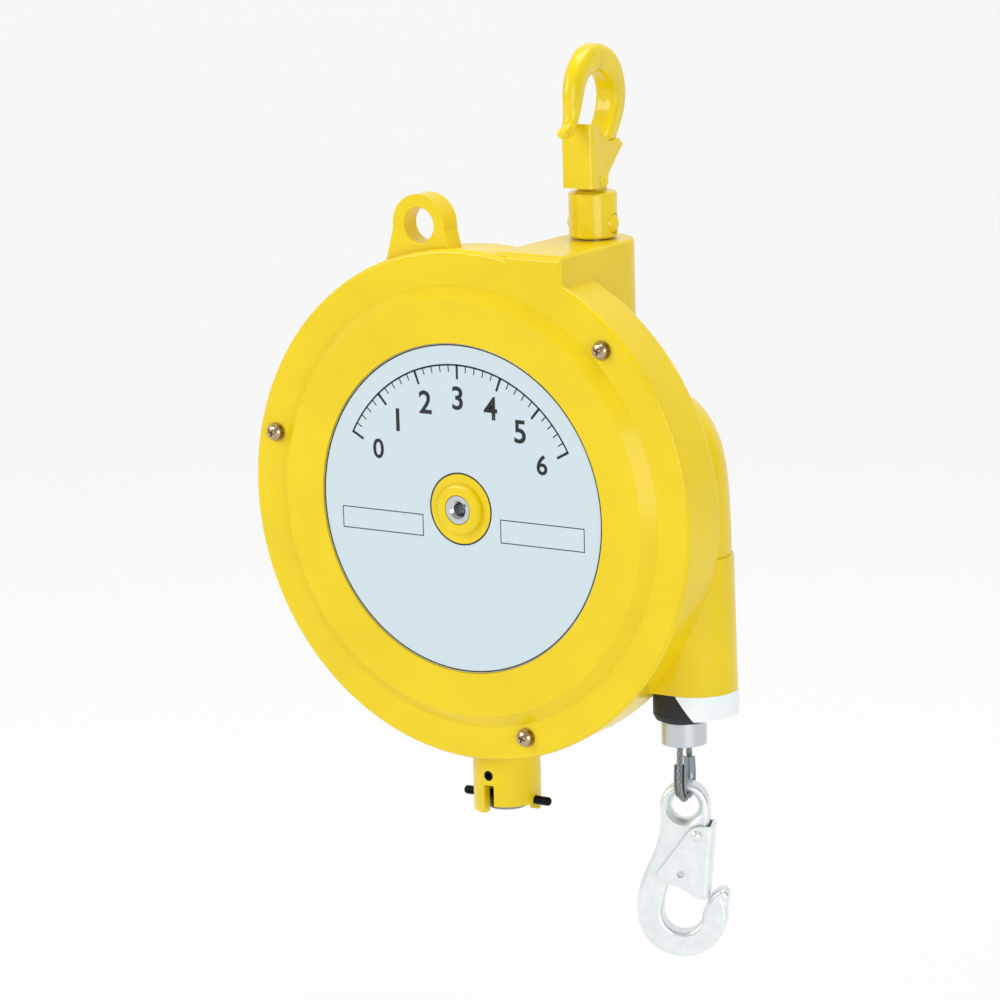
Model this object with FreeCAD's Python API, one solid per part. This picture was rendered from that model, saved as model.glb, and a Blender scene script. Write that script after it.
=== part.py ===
"""Spring balancer: a rope drum turned by a flat spiral spring, hung from a swivel hook.

Everything is modelled round the drum axis: X to the right, Y from the nameplate face to the back, Z up.
Each finished piece is then moved so that the origin is the seat of the top hook, where the balancer hangs.
Lengths are in millimetres.
"""
import FreeCAD, Part
import math
import os

V = FreeCAD.Vector
X, Y, Z = V(1, 0, 0), V(0, 1, 0), V(0, 0, 1)
O = V(0, 0, 0)

# ---- clearances -------------------------------------------------------------------------------
run_gap = 0.05          # radial gap of a shaft in its bearing
free_gap = 0.4          # gap between pieces that pass each other
seat_gap = 0.3          # gap under a piece that rests loosely
turn_gap = 1.3          # round the drum and the spring barrel

# ---- case -------------------------------------------------------------------------------------
case_r = 126.8          # spring housing, outside
case_wall = 3.5
case_front_y = 7.5      # parting plane of the front cover
case_back_y = 37.5      # back of the spring housing
case_floor = 3.0        # thickness of its back wall
case_edge = 2.0         # rounded outer edges
case_back_edge = 5.0
rear_step = 20.8        # the drum housing behind is this much smaller
rear_back_y = 66.5      # its back face
rear_edge = 6.0

# ---- front cover and nameplate ----------------------------------------------------------------
cover_over = 0.8        # the cover stands out past the case
cover_wall = 3.0
flange_y = 4.3          # front face of the screw flange
land_y = -1.0           # front face of the raised ring
land_width = 21.6
slope_width = 6.5       # from the land down to the flange
cover_edge = 2.2
lip_depth = 3.0         # spigot of the cover inside the case
lip_wall = 2.6
plate_gap = 0.4         # round the nameplate in its recess
plate_hole_r = 17.5
plate_t = 0.5
hub_r = 12.7
hub_y = -3.0            # front face of the hub
hub_boss_depth = 7.5    # boss behind the plate seat that holds the bush
tab_left_x = 26.0       # the cover's corner tab in front of the hook block

# ---- cover screws (M4 pan head) ---------------------------------------------------------------
screw_count = 3
screw_angle = 46.0      # of the first, from +X towards +Z
screw_inset = 9.8       # from the case's outside to the screw's axis
screw_land = 6.5        # from the screw's axis to the foot of the slope
screw_r = 2.0
screw_head_r = 4.0
screw_head_h = 2.7
screw_length = 14.0
spring_washer_r = 3.8
spring_washer_t = 1.0
plain_washer_r = 4.9
plain_washer_t = 0.8
screw_boss_r = 5.4
screw_boss_depth = 15.0

# ---- shaft ------------------------------------------------------------------------------------
shaft_r = 7.0
shaft_front_y = -2.8
shaft_tail = 3.0        # past the worm wheel
shaft_bore_r = 3.25
shaft_bore_depth = 14.0
shaft_sink_r = 4.6
slit_width = 1.5
slit_depth = 3.5
slit_reach = 5.8
slit_angle = 31.0
arbor_r = 13.5          # spring arbor on the shaft
bush_wall = 2.0
circlip_t = 1.2
circlip_r = 10.0
circlip_groove = 0.6

# ---- spring barrel ----------------------------------------------------------------------------
barrel_inset = 13.3     # from the case wall to the barrel, past the cover screws
barrel_t = 2.0
barrel_front_y = 10.6
flange_front_y = 30.4   # the barrel's floor is also the lock flange
flange_t = 3.4
flange_over = 7.0       # the lock flange stands out past the barrel
notch_count = 8
notch_depth = 6.0
barrel_screw_count = 6
barrel_screw_r = 2.0
barrel_boss_r = 4.5
spring_t = 1.6
spring_turns = 6

# ---- drum and rope ----------------------------------------------------------------------------
rope_r = 1.6
rope_room = 3.8         # from the drum housing's wall to the rope's centre line
rope_y = 44.0
rope_pitch = 3.7
rope_turns = 5
groove_gap = 0.2
drum_back_y = 61.8
drum_lip = 1.4
drum_wall = 4.0
web_t = 3.6
hub_wall = 5.0
window_r = 15.0
window_count = 6
rope_travel = 2500.0

# ---- tension gear -----------------------------------------------------------------------------
wheel_teeth = 30
wheel_r = 21.6
wheel_width = 9.0
tooth_depth = 2.6
worm_r = 8.0
worm_pitch = 4.7
worm_threads = 5
gear_gap = 0.4          # between the wheel's tips and the worm's crests
worm_half = 34.0        # half the worm housing's length
worm_end_wall = 8.0
worm_head_r = 5.5
worm_head_length = 9.0
gear_pocket_gap = 2.5
gear_wall = 4.0
gear_cover_t = 3.0
gear_screw_r = 2.0
gear_boss_r = 5.0

# ---- hook block, ear, swivel stem -------------------------------------------------------------
hook_x = 39.1
hook_y = 65.0
block_rise = 0.6        # the block's top above the case's
block_half = 20.0
gusset_z = 98.0         # the block's back edge ends here and slopes in under it
ear_x = -26.8
ear_rise = 10.6         # centre of its hole above the case's top
ear_front_y = 9.5
ear_t = 11.5
ear_r = 15.2
ear_hole_r = 8.5
ear_foot_half = 21.0
stem_r = 6.95
stem_bore_r = 7.0
stem_wall = 12.0        # thickness of the block's roof round the stem
stem_pocket_r = 15.5
nut_across = 19.0
nut_height = 8.0
thrust_t = 2.5
thrust_r = 12.0

# ---- top hook ---------------------------------------------------------------------------------
top_hook_turn = 5.0     # how far the hook is turned on its swivel, degrees
foot_gap = 0.8          # under the hook's round foot
foot_r = 12.0
foot_height = 22.4
foot_bore_r = 7.05
foot_bore_depth = 16.0
pin_r = 3.0
pin_height = 6.9
pin_head_r = 5.0
pin_sink = 1.2          # the pin's heads sit on flats this deep in the foot
bow_p, bow_z = 1.6, 68.6        # centre of the bow's outside, from the foot
bow_r = 26.1
seat_drop = 2.1                 # the inside circle lies this much lower
seat_r = 14.5
hook_half_t = 6.2
latch_gauge = 1.6
latch_gap = 0.7
top_latch_p, top_latch_z = -4.6, 28.4
latch_rivet_r = 2.0
latch_rivet_head_r = 3.1

# ---- rope tower, guide, bumper, ferrule -------------------------------------------------------
tower_out = 7.8         # tower's centre, outside the rope's
tower_r = 20.2
tower_bottom_z = -87.5
tower_foot_z = -20.5    # where the round boss ends and the hood begins
tower_draft = 1.1       # how much slimmer it gets on the way up
hood_step = 1.5
hood_top_z = 53.0
hood_depth = 18.5       # how far the hood leans in at its top
guide_h = 12.5
guide_spigot_h = 10.0
tower_wall = 3.6
mouth_top_half = 7.7    # slanted mouth of the guide, from the rope axis
mouth_bottom_half = 16.8
bumper_r = 15.0
bumper_h = 15.0
bumper_drop = 4.2       # how far it stands below the guide
bumper_nose_h = 7.0
bumper_nose_r = 7.0
ferrule_r = 11.2
ferrule_h = 12.0

# ---- rope loop, thimble, lower hook -----------------------------------------------------------
lower_turn = 24.0       # how far the lower hook is turned about the rope, degrees
eye_drop = 31.4         # from the ferrule's bottom to the centre of the eye
eye_r = 12.0
eye_hole_r = 6.6
eye_round = 7.15        # rounding inside the eye
hook_t = 11.4
loop_rope_r = 1.55
thimble_r = 3.1         # outside of the channel's section
thimble_wall = 0.8
loop_gap = 0.5
loop_turn = 17.0        # the loop's own turn about the rope
loop_neck = 8.2         # half the spacing of the two legs in the ferrule
bowl_p, bowl_z = -1.9, -54.7    # centre of the bowl, from the eye
bowl_out_r = 22.2
bowl_in_r = 10.0
lower_latch_p, lower_latch_z = 6.2, -13.8
lower_rivet_head_r = 2.7
latch_hole_r = 1.8

# ---- drum lock --------------------------------------------------------------------------------
lock_x = 1.0
lock_y = 33.0
lock_r = 17.0
lock_bore_r = 12.0
lock_edge_drop = 27.9   # below the case: the boss's edge,
lock_lobe_drop = 31.8   # its two lobes,
lock_slot_drop = 17.2   # the top of the deep slot,
bar_drop = 26.4         # the bar,
set_screw_drop = 12.2   # and the set screw
lock_slot_w = 5.8
bar_r = 2.25
bar_half = 25.6
plunger_r = 4.0
plunger_tip_gap = 1.6
sleeve_h = 9.0
set_screw_r = 2.6

# ---- worked out from the sizes above ----------------------------------------------------------
case_in_r = case_r - case_wall
rear_r = case_r - rear_step
rear_in_r = rear_r - case_wall
drum_floor_y = case_back_y - case_floor
cover_r = case_r + cover_over
screw_pitch_r = case_r - screw_inset
slope_r = screw_pitch_r - screw_land
land_out_r = slope_r - slope_width
land_in_r = land_out_r - land_width
plate_r = land_in_r - plate_gap
barrel_r = case_in_r - barrel_inset
flange_r = barrel_r + flange_over
barrel_screw_pitch_r = barrel_r * 0.7
barrel_edge_screw_r = barrel_r - barrel_t - barrel_boss_r + 0.5
flange_back_y = flange_front_y + flange_t
rope_x = rear_in_r - rope_room
tower_x = rope_x + tower_out
block_top_z = case_r + block_rise
ear_z = case_r + ear_rise
lock_edge_z = -(case_r + lock_edge_drop)
lock_lobe_z = -(case_r + lock_lobe_drop)
lock_slot_top_z = -(case_r + lock_slot_drop)
bar_z = -(case_r + bar_drop)
set_screw_z = -(case_r + set_screw_drop)
spring_front_y = barrel_front_y + barrel_t + free_gap
spring_width = flange_front_y - free_gap - spring_front_y
foot_z = block_top_z + foot_gap
seat_z = foot_z + bow_z - seat_drop + seat_r
guide_bottom_z = tower_bottom_z - guide_h
bumper_bottom_z = guide_bottom_z - bumper_drop
ferrule_bottom_z = bumper_bottom_z - ferrule_h
eye_z = ferrule_bottom_z - eye_drop
bend_z = eye_z + eye_hole_r - loop_gap - thimble_r      # lowest point of the loop's centre line
loop_r = eye_round + loop_gap + thimble_r + 0.2         # so that the loop clears the eye's rounding
worm_z = -(wheel_r + worm_r + gear_gap)
wheel_mid_y = rear_back_y + gear_wall + wheel_width / 2
gear_back_y = wheel_mid_y + wheel_width / 2 + gear_wall
bush_r = shaft_r + run_gap + bush_wall
shaft_back_y = wheel_mid_y + wheel_width / 2 + shaft_tail
drum_bush_r = shaft_r + run_gap + bush_wall + 1.0
origin = V(hook_x, hook_y, seat_z)


# ---- helpers ----------------------------------------------------------------------------------
def cyl(r, length, base, axis=Z):
    return Part.makeCylinder(r, length, base, axis)


def pipe(r_out, r_in, length, base, axis=Z):
    return cyl(r_out, length, base, axis).cut(cyl(r_in, length, base, axis))


def box(x0, x1, y0, y1, z0, z1):
    return Part.makeBox(x1 - x0, y1 - y0, z1 - z0, V(x0, y0, z0))


def joined(shapes):
    first, rest = shapes[0], shapes[1:]
    return (first.fuse(rest) if rest else first).removeSplitter()


def face_of(points):
    return Part.Face(Part.makePolygon(list(points) + [points[0]]))


def turned(profile, axis=Y, centre=O):
    """Revolve (radius, height) points a full turn about an axis along Y or Z."""
    if axis == Y:
        points = [V(r, y, 0) for r, y in profile]
    else:
        points = [V(r, 0, z) for r, z in profile]
    shape = face_of(points).revolve(O, axis, 360)
    shape.translate(centre)
    return shape


def prism(points, direction):
    return face_of(points).extrude(direction)


def rounded(shape, radius, chosen):
    """Fillet the edges that the test function chooses."""
    edges = [e for e in shape.Edges if chosen(e)]
    return shape.makeFillet(radius, edges) if edges else shape


def polar(r, degrees, y):
    a = math.radians(degrees)
    return V(r * math.cos(a), y, r * math.sin(a))


def round_of(count, start=0.0):
    return [start + 360.0 * i / count for i in range(count)]


def copies_round_y(shape, angles):
    """Copies turned about the drum axis; an angle counts from +X towards +Z."""
    result = []
    for a in angles:
        copy = shape.copy()
        copy.rotate(O, Y, -a)
        result.append(copy)
    return result


def on_hook(shape, centre, turn):
    """Move a piece from its hook's plane (X along the hook, Z up) to its place."""
    shape.rotate(O, Z, turn)
    shape.translate(centre)
    return shape


def save(name, shape):
    shape = shape.copy()
    shape.translate(-origin)
    shape.exportStep("parts/" + name + ".step")
    print(name, len(shape.Solids), round(shape.Volume, 1), shape.isValid())


# ---- case -------------------------------------------------------------------------------------
def cover_outline(front, back):
    """The round outline with the straight corner tab, as a solid between two Y planes."""
    disc = cyl(cover_r, back - front, V(0, front, 0), Y)
    tab = box(tab_left_x, hook_x + block_half, front, back, cover_r * 0.7, block_top_z - 0.8)
    return disc.fuse(tab).removeSplitter()


def hook_block():
    """The block that carries the swivel: flat sides, round at the back about the stem."""
    left, right = hook_x - block_half, hook_x + block_half
    low = rear_r * 0.55
    body = box(left, right, case_front_y, hook_y, low, block_top_z)
    back = cyl(block_half, block_top_z - low, V(hook_x, hook_y, low))
    block = body.fuse(back).removeSplitter()
    block = rounded(block, case_edge, lambda e: e.BoundBox.ZMin > block_top_z - 0.1)
    reach = hook_y + block_half + 1
    side = prism([V(left - 1, case_front_y, low), V(left - 1, rear_back_y, low), V(left - 1, reach, gusset_z),
                  V(left - 1, reach, block_top_z + 1), V(left - 1, case_front_y, block_top_z + 1)],
                 V(2 * block_half + 2, 0, 0))
    return block.common(side)


def ear():
    """Safety ear: round head on tapered sides, with a rounded hole."""
    mid = V(ear_x, ear_front_y, ear_z)
    foot_drop = ear_z - case_r * 0.9
    tangent = math.asin((ear_foot_half - ear_r) / foot_drop)
    side_p, side_z = ear_r * math.cos(tangent), -ear_r * math.sin(tangent) * 0.2
    outline = [V(-ear_foot_half, 0, -foot_drop), V(-side_p, 0, side_z), V(side_p, 0, side_z),
               V(ear_foot_half, 0, -foot_drop)]
    blade = prism(outline, V(0, ear_t, 0))
    head = cyl(ear_r, ear_t, O, Y)
    shape = blade.fuse(head).removeSplitter()
    shape = shape.cut(cyl(ear_hole_r, ear_t, O, Y))
    hole = lambda e: isinstance(e.Curve, Part.Circle) and abs(e.Curve.Radius - ear_hole_r) < 0.01
    shape = rounded(shape, 1.2, hole)
    shape.translate(mid)
    return shape


def tower_section(z, reach):
    """Plan of the tower at one height: straight sides from the housing, round outside."""
    inner = rear_in_r * 0.8
    x, front, back = reach - tower_r, rope_y - tower_r, rope_y + tower_r
    edges = [Part.LineSegment(V(inner, front, z), V(x, front, z)).toShape(),
             Part.Arc(V(x, front, z), V(reach, rope_y, z), V(x, back, z)).toShape(),
             Part.LineSegment(V(x, back, z), V(inner, back, z)).toShape(),
             Part.LineSegment(V(inner, back, z), V(inner, front, z)).toShape()]
    return Part.Wire(edges)


def tower_body():
    """Round boss round the rope exit; above it a hood leans in and runs out on the housing."""
    foot, top = tower_x + tower_r, tower_x + tower_r - tower_draft
    boss = Part.makeLoft([tower_section(tower_bottom_z, foot), tower_section(tower_foot_z, top)], True, False)
    height = hood_top_z - tower_foot_z
    sections = []
    for share, lean in ((0, 0), (0.25, 0.0), (0.5, 0.06), (0.7, 0.2), (0.86, 0.48), (1.0, 1.0)):
        reach = top - hood_step - hood_depth * lean
        sections.append(tower_section(tower_foot_z - 0.5 + (height + 0.5) * share, reach))
    hood = Part.makeLoft(sections, True, False)
    return boss.fuse(hood)


def lock_boss():
    """Tube under the rim whose stepped lower edge holds the lock bar."""
    top = -case_in_r * 0.93
    tube = cyl(lock_r, top - lock_lobe_z, V(lock_x, lock_y, lock_lobe_z))
    reach = 2 * lock_r
    for turn in (0, 180):
        corner = box(0, reach, -reach, 0, lock_lobe_z - 1, lock_edge_z)
        corner.rotate(O, Z, turn)
        corner.translate(V(lock_x, lock_y, 0))
        tube = tube.cut(corner)
    return tube


def lock_cuts():
    low = lock_lobe_z - 1
    half = lock_slot_w / 2
    slot = box(lock_x - half, lock_x + half, lock_y - 2 * lock_r, lock_y + 2 * lock_r, low, lock_slot_top_z)
    seat = bar_r + 0.15
    notch = box(lock_x - 2 * lock_r, lock_x + 2 * lock_r, lock_y - seat, lock_y + seat, low, bar_z)
    notch = notch.fuse(cyl(seat, 4 * lock_r, V(lock_x - 2 * lock_r, lock_y, bar_z), X))
    well = cyl(lock_bore_r, lock_well_top() - low, V(lock_x, lock_y, low))
    tip_low = lock_well_top() - 1
    tip = cyl(plunger_r + free_gap, -flange_r - tip_low, V(lock_x, lock_y, tip_low))
    screw = cyl(set_screw_r, lock_r, V(lock_x, lock_y - lock_r, set_screw_z), Y)
    return [slot, notch, well, tip, screw]


def lock_well_top():
    return -(case_r + 3.0)


def case_shell():
    """Outer form of the die casting before it is hollowed."""
    drum_part = cyl(case_r, case_back_y - case_front_y, V(0, case_front_y, 0), Y)
    drum_part = rounded(drum_part, case_back_edge, lambda e: e.BoundBox.YMin > case_back_y - 0.1)
    rear_part = cyl(rear_r, rear_back_y - case_back_y + 4, V(0, case_back_y - 4, 0), Y)
    rear_part = rounded(rear_part, rear_edge, lambda e: e.BoundBox.YMin > rear_back_y - 0.1)
    gear_r = wheel_r + gear_pocket_gap + gear_wall
    gear_part = cyl(gear_r, gear_back_y - rear_back_y + 4, V(0, rear_back_y - 4, 0), Y)
    worm_part = box(-worm_half, worm_half, rear_back_y - 4, gear_back_y,
                    worm_z - worm_r - gear_pocket_gap - gear_wall, 0)
    bosses = gear_bosses(rear_back_y - 4, gear_back_y)
    return [drum_part, rear_part, gear_part, worm_part, hook_block(), ear(), tower_body(), lock_boss()] + bosses


def main_case():
    shape = joined(case_shell())
    front = case_front_y - 1
    cuts = [cyl(case_in_r, drum_floor_y - front, V(0, front, 0), Y),
            cyl(rear_in_r, rear_back_y - case_wall - drum_floor_y + 1, V(0, drum_floor_y - 1, 0), Y)]
    cuts += gear_pocket()
    cuts += stem_cuts()
    cuts += tower_cuts()
    cuts += lock_cuts()
    shape = shape.cut(cuts)
    bosses = []
    for a in round_of(screw_count, screw_angle):
        boss = cyl(screw_boss_r, screw_boss_depth, polar(screw_pitch_r, a, case_front_y), Y)
        reach = box(screw_pitch_r, case_in_r + 1, case_front_y, case_front_y + screw_boss_depth,
                    -screw_boss_r, screw_boss_r)
        bosses.append(boss.fuse(copies_round_y(reach, [a])))
    rear_boss = pipe(bush_r + 2.5, bush_r, gear_wall - 0.5, V(0, rear_back_y, 0), Y)
    lip_room = pipe(case_in_r, case_in_r - lip_wall - 0.6, lip_depth + 0.4, V(0, case_front_y, 0), Y)
    bosses = [b.cut(lip_room) for b in bosses] + [rear_boss]
    shape = shape.fuse(bosses).removeSplitter()
    holes = [cyl(screw_r, screw_length + 2, polar(screw_pitch_r, a, case_front_y - 1), Y)
             for a in round_of(screw_count, screw_angle)]
    return shape.cut(holes)


def gear_pocket():
    """Room for the worm wheel and worm, the bush bore and the cover's screw holes."""
    front = rear_back_y
    pocket_r = wheel_r + gear_pocket_gap
    depth = gear_back_y - front
    round_room = cyl(pocket_r, depth, V(0, front, 0), Y)
    worm_room = box(-worm_half + worm_end_wall, worm_half - worm_end_wall, front, gear_back_y,
                    worm_z - worm_r - gear_pocket_gap, worm_z + worm_r)
    worm_bore = cyl(worm_bush_r(), 2 * worm_half + 2, V(-worm_half - 1, wheel_mid_y, worm_z), X)
    bush_bore = cyl(bush_r, 30, V(0, rear_back_y - 20, 0), Y)
    screws = [cyl(gear_screw_r, 10, V(x, gear_back_y - 9, z), Y) for x, z in gear_screw_places()]
    return [round_room, worm_room, worm_bore, bush_bore] + screws


def gear_screw_places():
    side = worm_half - worm_end_wall / 2
    low = worm_z - worm_bush_r() - gear_boss_r * 0.8
    high = (wheel_r + gear_pocket_gap + gear_boss_r + 0.6) / math.sqrt(2)
    return [(-side, low), (side, low), (-high, high), (high, high)]


def gear_bosses(y0, y1):
    return [cyl(gear_boss_r, y1 - y0, V(x, y0, z), Y) for x, z in gear_screw_places()[2:]]


def worm_bush_r():
    return worm_r * 0.55 + run_gap + bush_wall


def stem_cuts():
    """Stem bore through the block's roof and the pocket for its nut, open to the spring chamber."""
    roof = block_top_z - stem_wall
    bore = cyl(stem_bore_r, stem_wall + 2, V(hook_x, hook_y, roof - 1))
    low = math.sqrt(rear_in_r ** 2 - hook_x ** 2) - 3
    pocket = cyl(stem_pocket_r, roof - low, V(hook_x, hook_y, low))
    return [bore, pocket]


def tower_cuts():
    """Rope passage from the drum chamber and the round socket of the guide."""
    passage = cyl(rope_x - tower_x + tower_r - tower_wall, -tower_bottom_z, V(rope_x, rope_y, tower_bottom_z - 1))
    socket = cyl(tower_r - tower_wall, guide_spigot_h + 1, V(tower_x, rope_y, tower_bottom_z - 1))
    height = bumper_h + bumper_nose_h + 3
    nose = cyl(bumper_r + free_gap, height, V(rope_x, rope_y, bumper_bottom_z - 1))
    return [passage, socket, nose]


def front_cover():
    """Pressed-looking cast cover: recessed plate seat, raised land, slope, flat screw flange."""
    under = flange_y + cover_wall
    floor_y = plate_t
    outline = cover_outline(flange_y, case_front_y)
    outline = rounded(outline, cover_edge, lambda e: e.BoundBox.YMax < flange_y + 0.01)
    dome = turned([(0, land_y), (land_out_r, land_y), (slope_r, flange_y), (slope_r, under), (0, under)])
    hub = turned([(0, hub_y), (hub_r - 1.6, hub_y), (hub_r - 0.5, hub_y + 0.5), (hub_r, hub_y + 1.4),
                  (hub_r, plate_t), (0, plate_t)])
    pad = cyl(plate_hole_r - plate_gap / 2, floor_y, O, Y)
    recess = cyl(land_in_r, floor_y - land_y, V(0, land_y, 0), Y)
    body = outline.fuse(dome).cut(recess)
    body = body.fuse([pad, hub, cyl(plate_hole_r - 1, hub_boss_depth, V(0, plate_t, 0), Y)])
    inner = turned([(plate_hole_r - 1, floor_y + cover_wall), (land_in_r + 2.4, floor_y + cover_wall),
                    (land_in_r + 3.4, land_y + cover_wall), (land_out_r - 1.4, land_y + cover_wall),
                    (slope_r - 1.8, under), (slope_r - 1.8, under + 4), (plate_hole_r - 1, under + 4)])
    lip = pipe(case_in_r - seat_gap / 3, case_in_r - lip_wall, lip_depth + 0.5, V(0, case_front_y - 0.5, 0), Y)
    body = body.cut(inner).fuse(lip)
    room = [cyl(screw_r + 0.3, 12, polar(screw_pitch_r, a, flange_y - 1), Y)
            for a in round_of(screw_count, screw_angle)]
    gaps = [cyl(screw_boss_r + 0.6, 6, polar(screw_pitch_r, a, case_front_y), Y)
            for a in round_of(screw_count, screw_angle)]
    bore = cyl(bush_r, 14, V(0, hub_y + 1.8, 0), Y)
    nose = cyl(shaft_r + free_gap, 6, V(0, hub_y - 1, 0), Y)
    return body.cut(room + gaps + [bore, nose]).removeSplitter()


def nameplate():
    return pipe(plate_r, plate_hole_r, plate_t, O, Y)


def cover_fasteners():
    """Pan head screws with their spring and plain washers, three of each."""
    washer_y = flange_y - plain_washer_t
    spring_y = washer_y - spring_washer_t
    head = turned([(0, -screw_head_h), (screw_head_r * 0.45, -screw_head_h), (screw_head_r * 0.8, -screw_head_h * 0.8),
                   (screw_head_r, -screw_head_h * 0.45), (screw_head_r, 0), (0, 0)])
    arm = screw_head_r * 0.52
    for turn in (0, 90):
        cross = box(-arm, arm, -screw_head_h - 1, -screw_head_h * 0.35, -0.45, 0.45)
        cross.rotate(O, Y, turn + 20)
        head = head.cut(cross)
    screw = head.fuse(cyl(screw_r - 0.02, screw_length, O, Y)).removeSplitter()
    spring_ring = pipe(spring_washer_r, screw_r + 0.1, spring_washer_t, O, Y)
    split = box(0, spring_washer_r + 1, -0.1, spring_washer_t + 0.1, -0.3, 0.3)
    spring_ring = spring_ring.cut(split)
    plain_ring = pipe(plain_washer_r, screw_r + 0.15, plain_washer_t, O, Y)
    sets = {"cover_screws": (screw, spring_y), "cover_spring_washers": (spring_ring, spring_y),
            "cover_plain_washers": (plain_ring, washer_y)}
    result = {}
    for name, (piece, y) in sets.items():
        placed = []
        for a in round_of(screw_count, screw_angle):
            copy = piece.copy()
            copy.translate(polar(screw_pitch_r, a, y))
            placed.append(copy)
        result[name] = Part.makeCompound(placed)
    return result


# ---- shaft and tension gear -------------------------------------------------------------------
def front_bush():
    start = hub_y + 1.8
    return pipe(bush_r, shaft_r + run_gap, plate_t + hub_boss_depth - start, V(0, start, 0), Y)


def rear_bush():
    start = rear_back_y - case_wall
    return pipe(bush_r, shaft_r + run_gap, rear_back_y + gear_wall - 0.5 - start, V(0, start, 0), Y)


def main_shaft():
    shape = cyl(shaft_r, shaft_back_y - shaft_front_y, V(0, shaft_front_y, 0), Y)
    shape = shape.fuse(cyl(arbor_r, spring_width, V(0, spring_front_y, 0), Y))
    sink_depth = shaft_sink_r - shaft_bore_r
    sink = Part.makeCone(shaft_sink_r, shaft_bore_r, sink_depth, V(0, shaft_front_y, 0), Y)
    bore = cyl(shaft_bore_r, shaft_bore_depth, V(0, shaft_front_y, 0), Y)
    slit = box(0, slit_reach, shaft_front_y - 1, shaft_front_y + slit_depth, -slit_width / 2, slit_width / 2)
    slit.rotate(O, Y, -slit_angle)
    shape = shape.cut([sink, bore, slit])
    grooves = [pipe(shaft_r + 1, shaft_r - circlip_groove, circlip_t, V(0, y, 0), Y) for y in circlip_places()]
    return shape.cut(grooves).removeSplitter()


def circlip_places():
    return [barrel_front_y - circlip_t - 0.2, wheel_mid_y + wheel_width / 2 + 0.1]


def shaft_circlips():
    rings = []
    for y in circlip_places():
        ring = pipe(circlip_r, shaft_r - circlip_groove + 0.02, circlip_t, V(0, y, 0), Y)
        rings.append(ring.cut(box(0, circlip_r + 1, y - 1, y + circlip_t + 1, -2.2, 2.2)))
    return Part.makeCompound(rings)


def worm_wheel():
    start = wheel_mid_y - wheel_width / 2
    wheel = cyl(wheel_r, wheel_width, V(0, start, 0), Y).cut(cyl(shaft_r, wheel_width, V(0, start, 0), Y))
    half = math.pi * wheel_r / wheel_teeth / 2
    gullet = prism([V(wheel_r - tooth_depth, start, -half * 0.5), V(wheel_r + 1, start, -half * 1.2),
                    V(wheel_r + 1, start, half * 1.2), V(wheel_r - tooth_depth, start, half * 0.5)],
                   V(0, wheel_width, 0))
    return wheel.cut(copies_round_y(gullet, round_of(wheel_teeth)))


def worm_shaft():
    """Worm with plain journals and a hexagon head on the left for the spanner."""
    core_r = worm_r * 0.55
    span = worm_pitch * worm_threads
    profile = [(0, -worm_half + gear_wall), (core_r, -worm_half + gear_wall), (core_r, -span / 2)]
    for i in range(worm_threads):
        start = -span / 2 + i * worm_pitch
        profile += [(worm_r - tooth_depth, start), (worm_r - tooth_depth, start + worm_pitch * 0.2),
                    (worm_r, start + worm_pitch * 0.38), (worm_r, start + worm_pitch * 0.62),
                    (worm_r - tooth_depth, start + worm_pitch * 0.8)]
    profile += [(worm_r - tooth_depth, span / 2), (core_r, span / 2), (core_r, worm_half - 1), (0, worm_half - 1)]
    worm = turned(profile)
    worm = worm.fuse(cyl(core_r, gear_wall + 3, V(0, -worm_half - 3, 0), Y))
    flat = [V(worm_head_r * math.cos(math.radians(a)), 0, worm_head_r * math.sin(math.radians(a)))
            for a in round_of(6)]
    head = prism(flat, V(0, -worm_head_length, 0))
    head.translate(V(0, -worm_half - seat_gap - 2, 0))
    worm = worm.fuse(head).removeSplitter()
    worm.rotate(O, Z, -90)
    worm.translate(V(0, wheel_mid_y, worm_z))
    return worm


def worm_bushes():
    rings = []
    for x in (-worm_half, worm_half - worm_end_wall):
        rings.append(pipe(worm_bush_r(), worm_r * 0.55 + run_gap, worm_end_wall, V(x, wheel_mid_y, worm_z), X))
    return Part.makeCompound(rings)


def worm_cover():
    shape = joined([cyl(wheel_r + gear_pocket_gap + gear_wall, gear_cover_t, V(0, gear_back_y, 0), Y),
                    box(-worm_half, worm_half, gear_back_y, gear_back_y + gear_cover_t,
                        worm_z - worm_r - gear_pocket_gap - gear_wall, 0)]
                   + gear_bosses(gear_back_y, gear_back_y + gear_cover_t))
    shape = rounded(shape, 1.0, lambda e: e.BoundBox.YMin > gear_back_y + gear_cover_t - 0.01)
    holes = [cyl(gear_screw_r + 0.2, gear_cover_t, V(x, gear_back_y, z), Y) for x, z in gear_screw_places()]
    return shape.cut(holes + [cyl(shaft_r + 1.5, gear_cover_t, V(0, gear_back_y, 0), Y)])


def worm_cover_screws():
    back = gear_back_y + gear_cover_t
    screws = []
    for x, z in gear_screw_places():
        head = turned([(0, 0), (3.5, 0), (3.5, 1.2), (2.6, 2.2), (0, 2.4)])
        head.translate(V(x, back, z))
        shank = cyl(gear_screw_r - 0.02, gear_cover_t + 7, V(x, back - gear_cover_t - 7, z), Y)
        slot = box(x - 4, x + 4, back + 1.4, back + 3, z - 0.4, z + 0.4)
        screws.append(head.fuse(shank).cut(slot).removeSplitter())
    return Part.makeCompound(screws)


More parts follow.
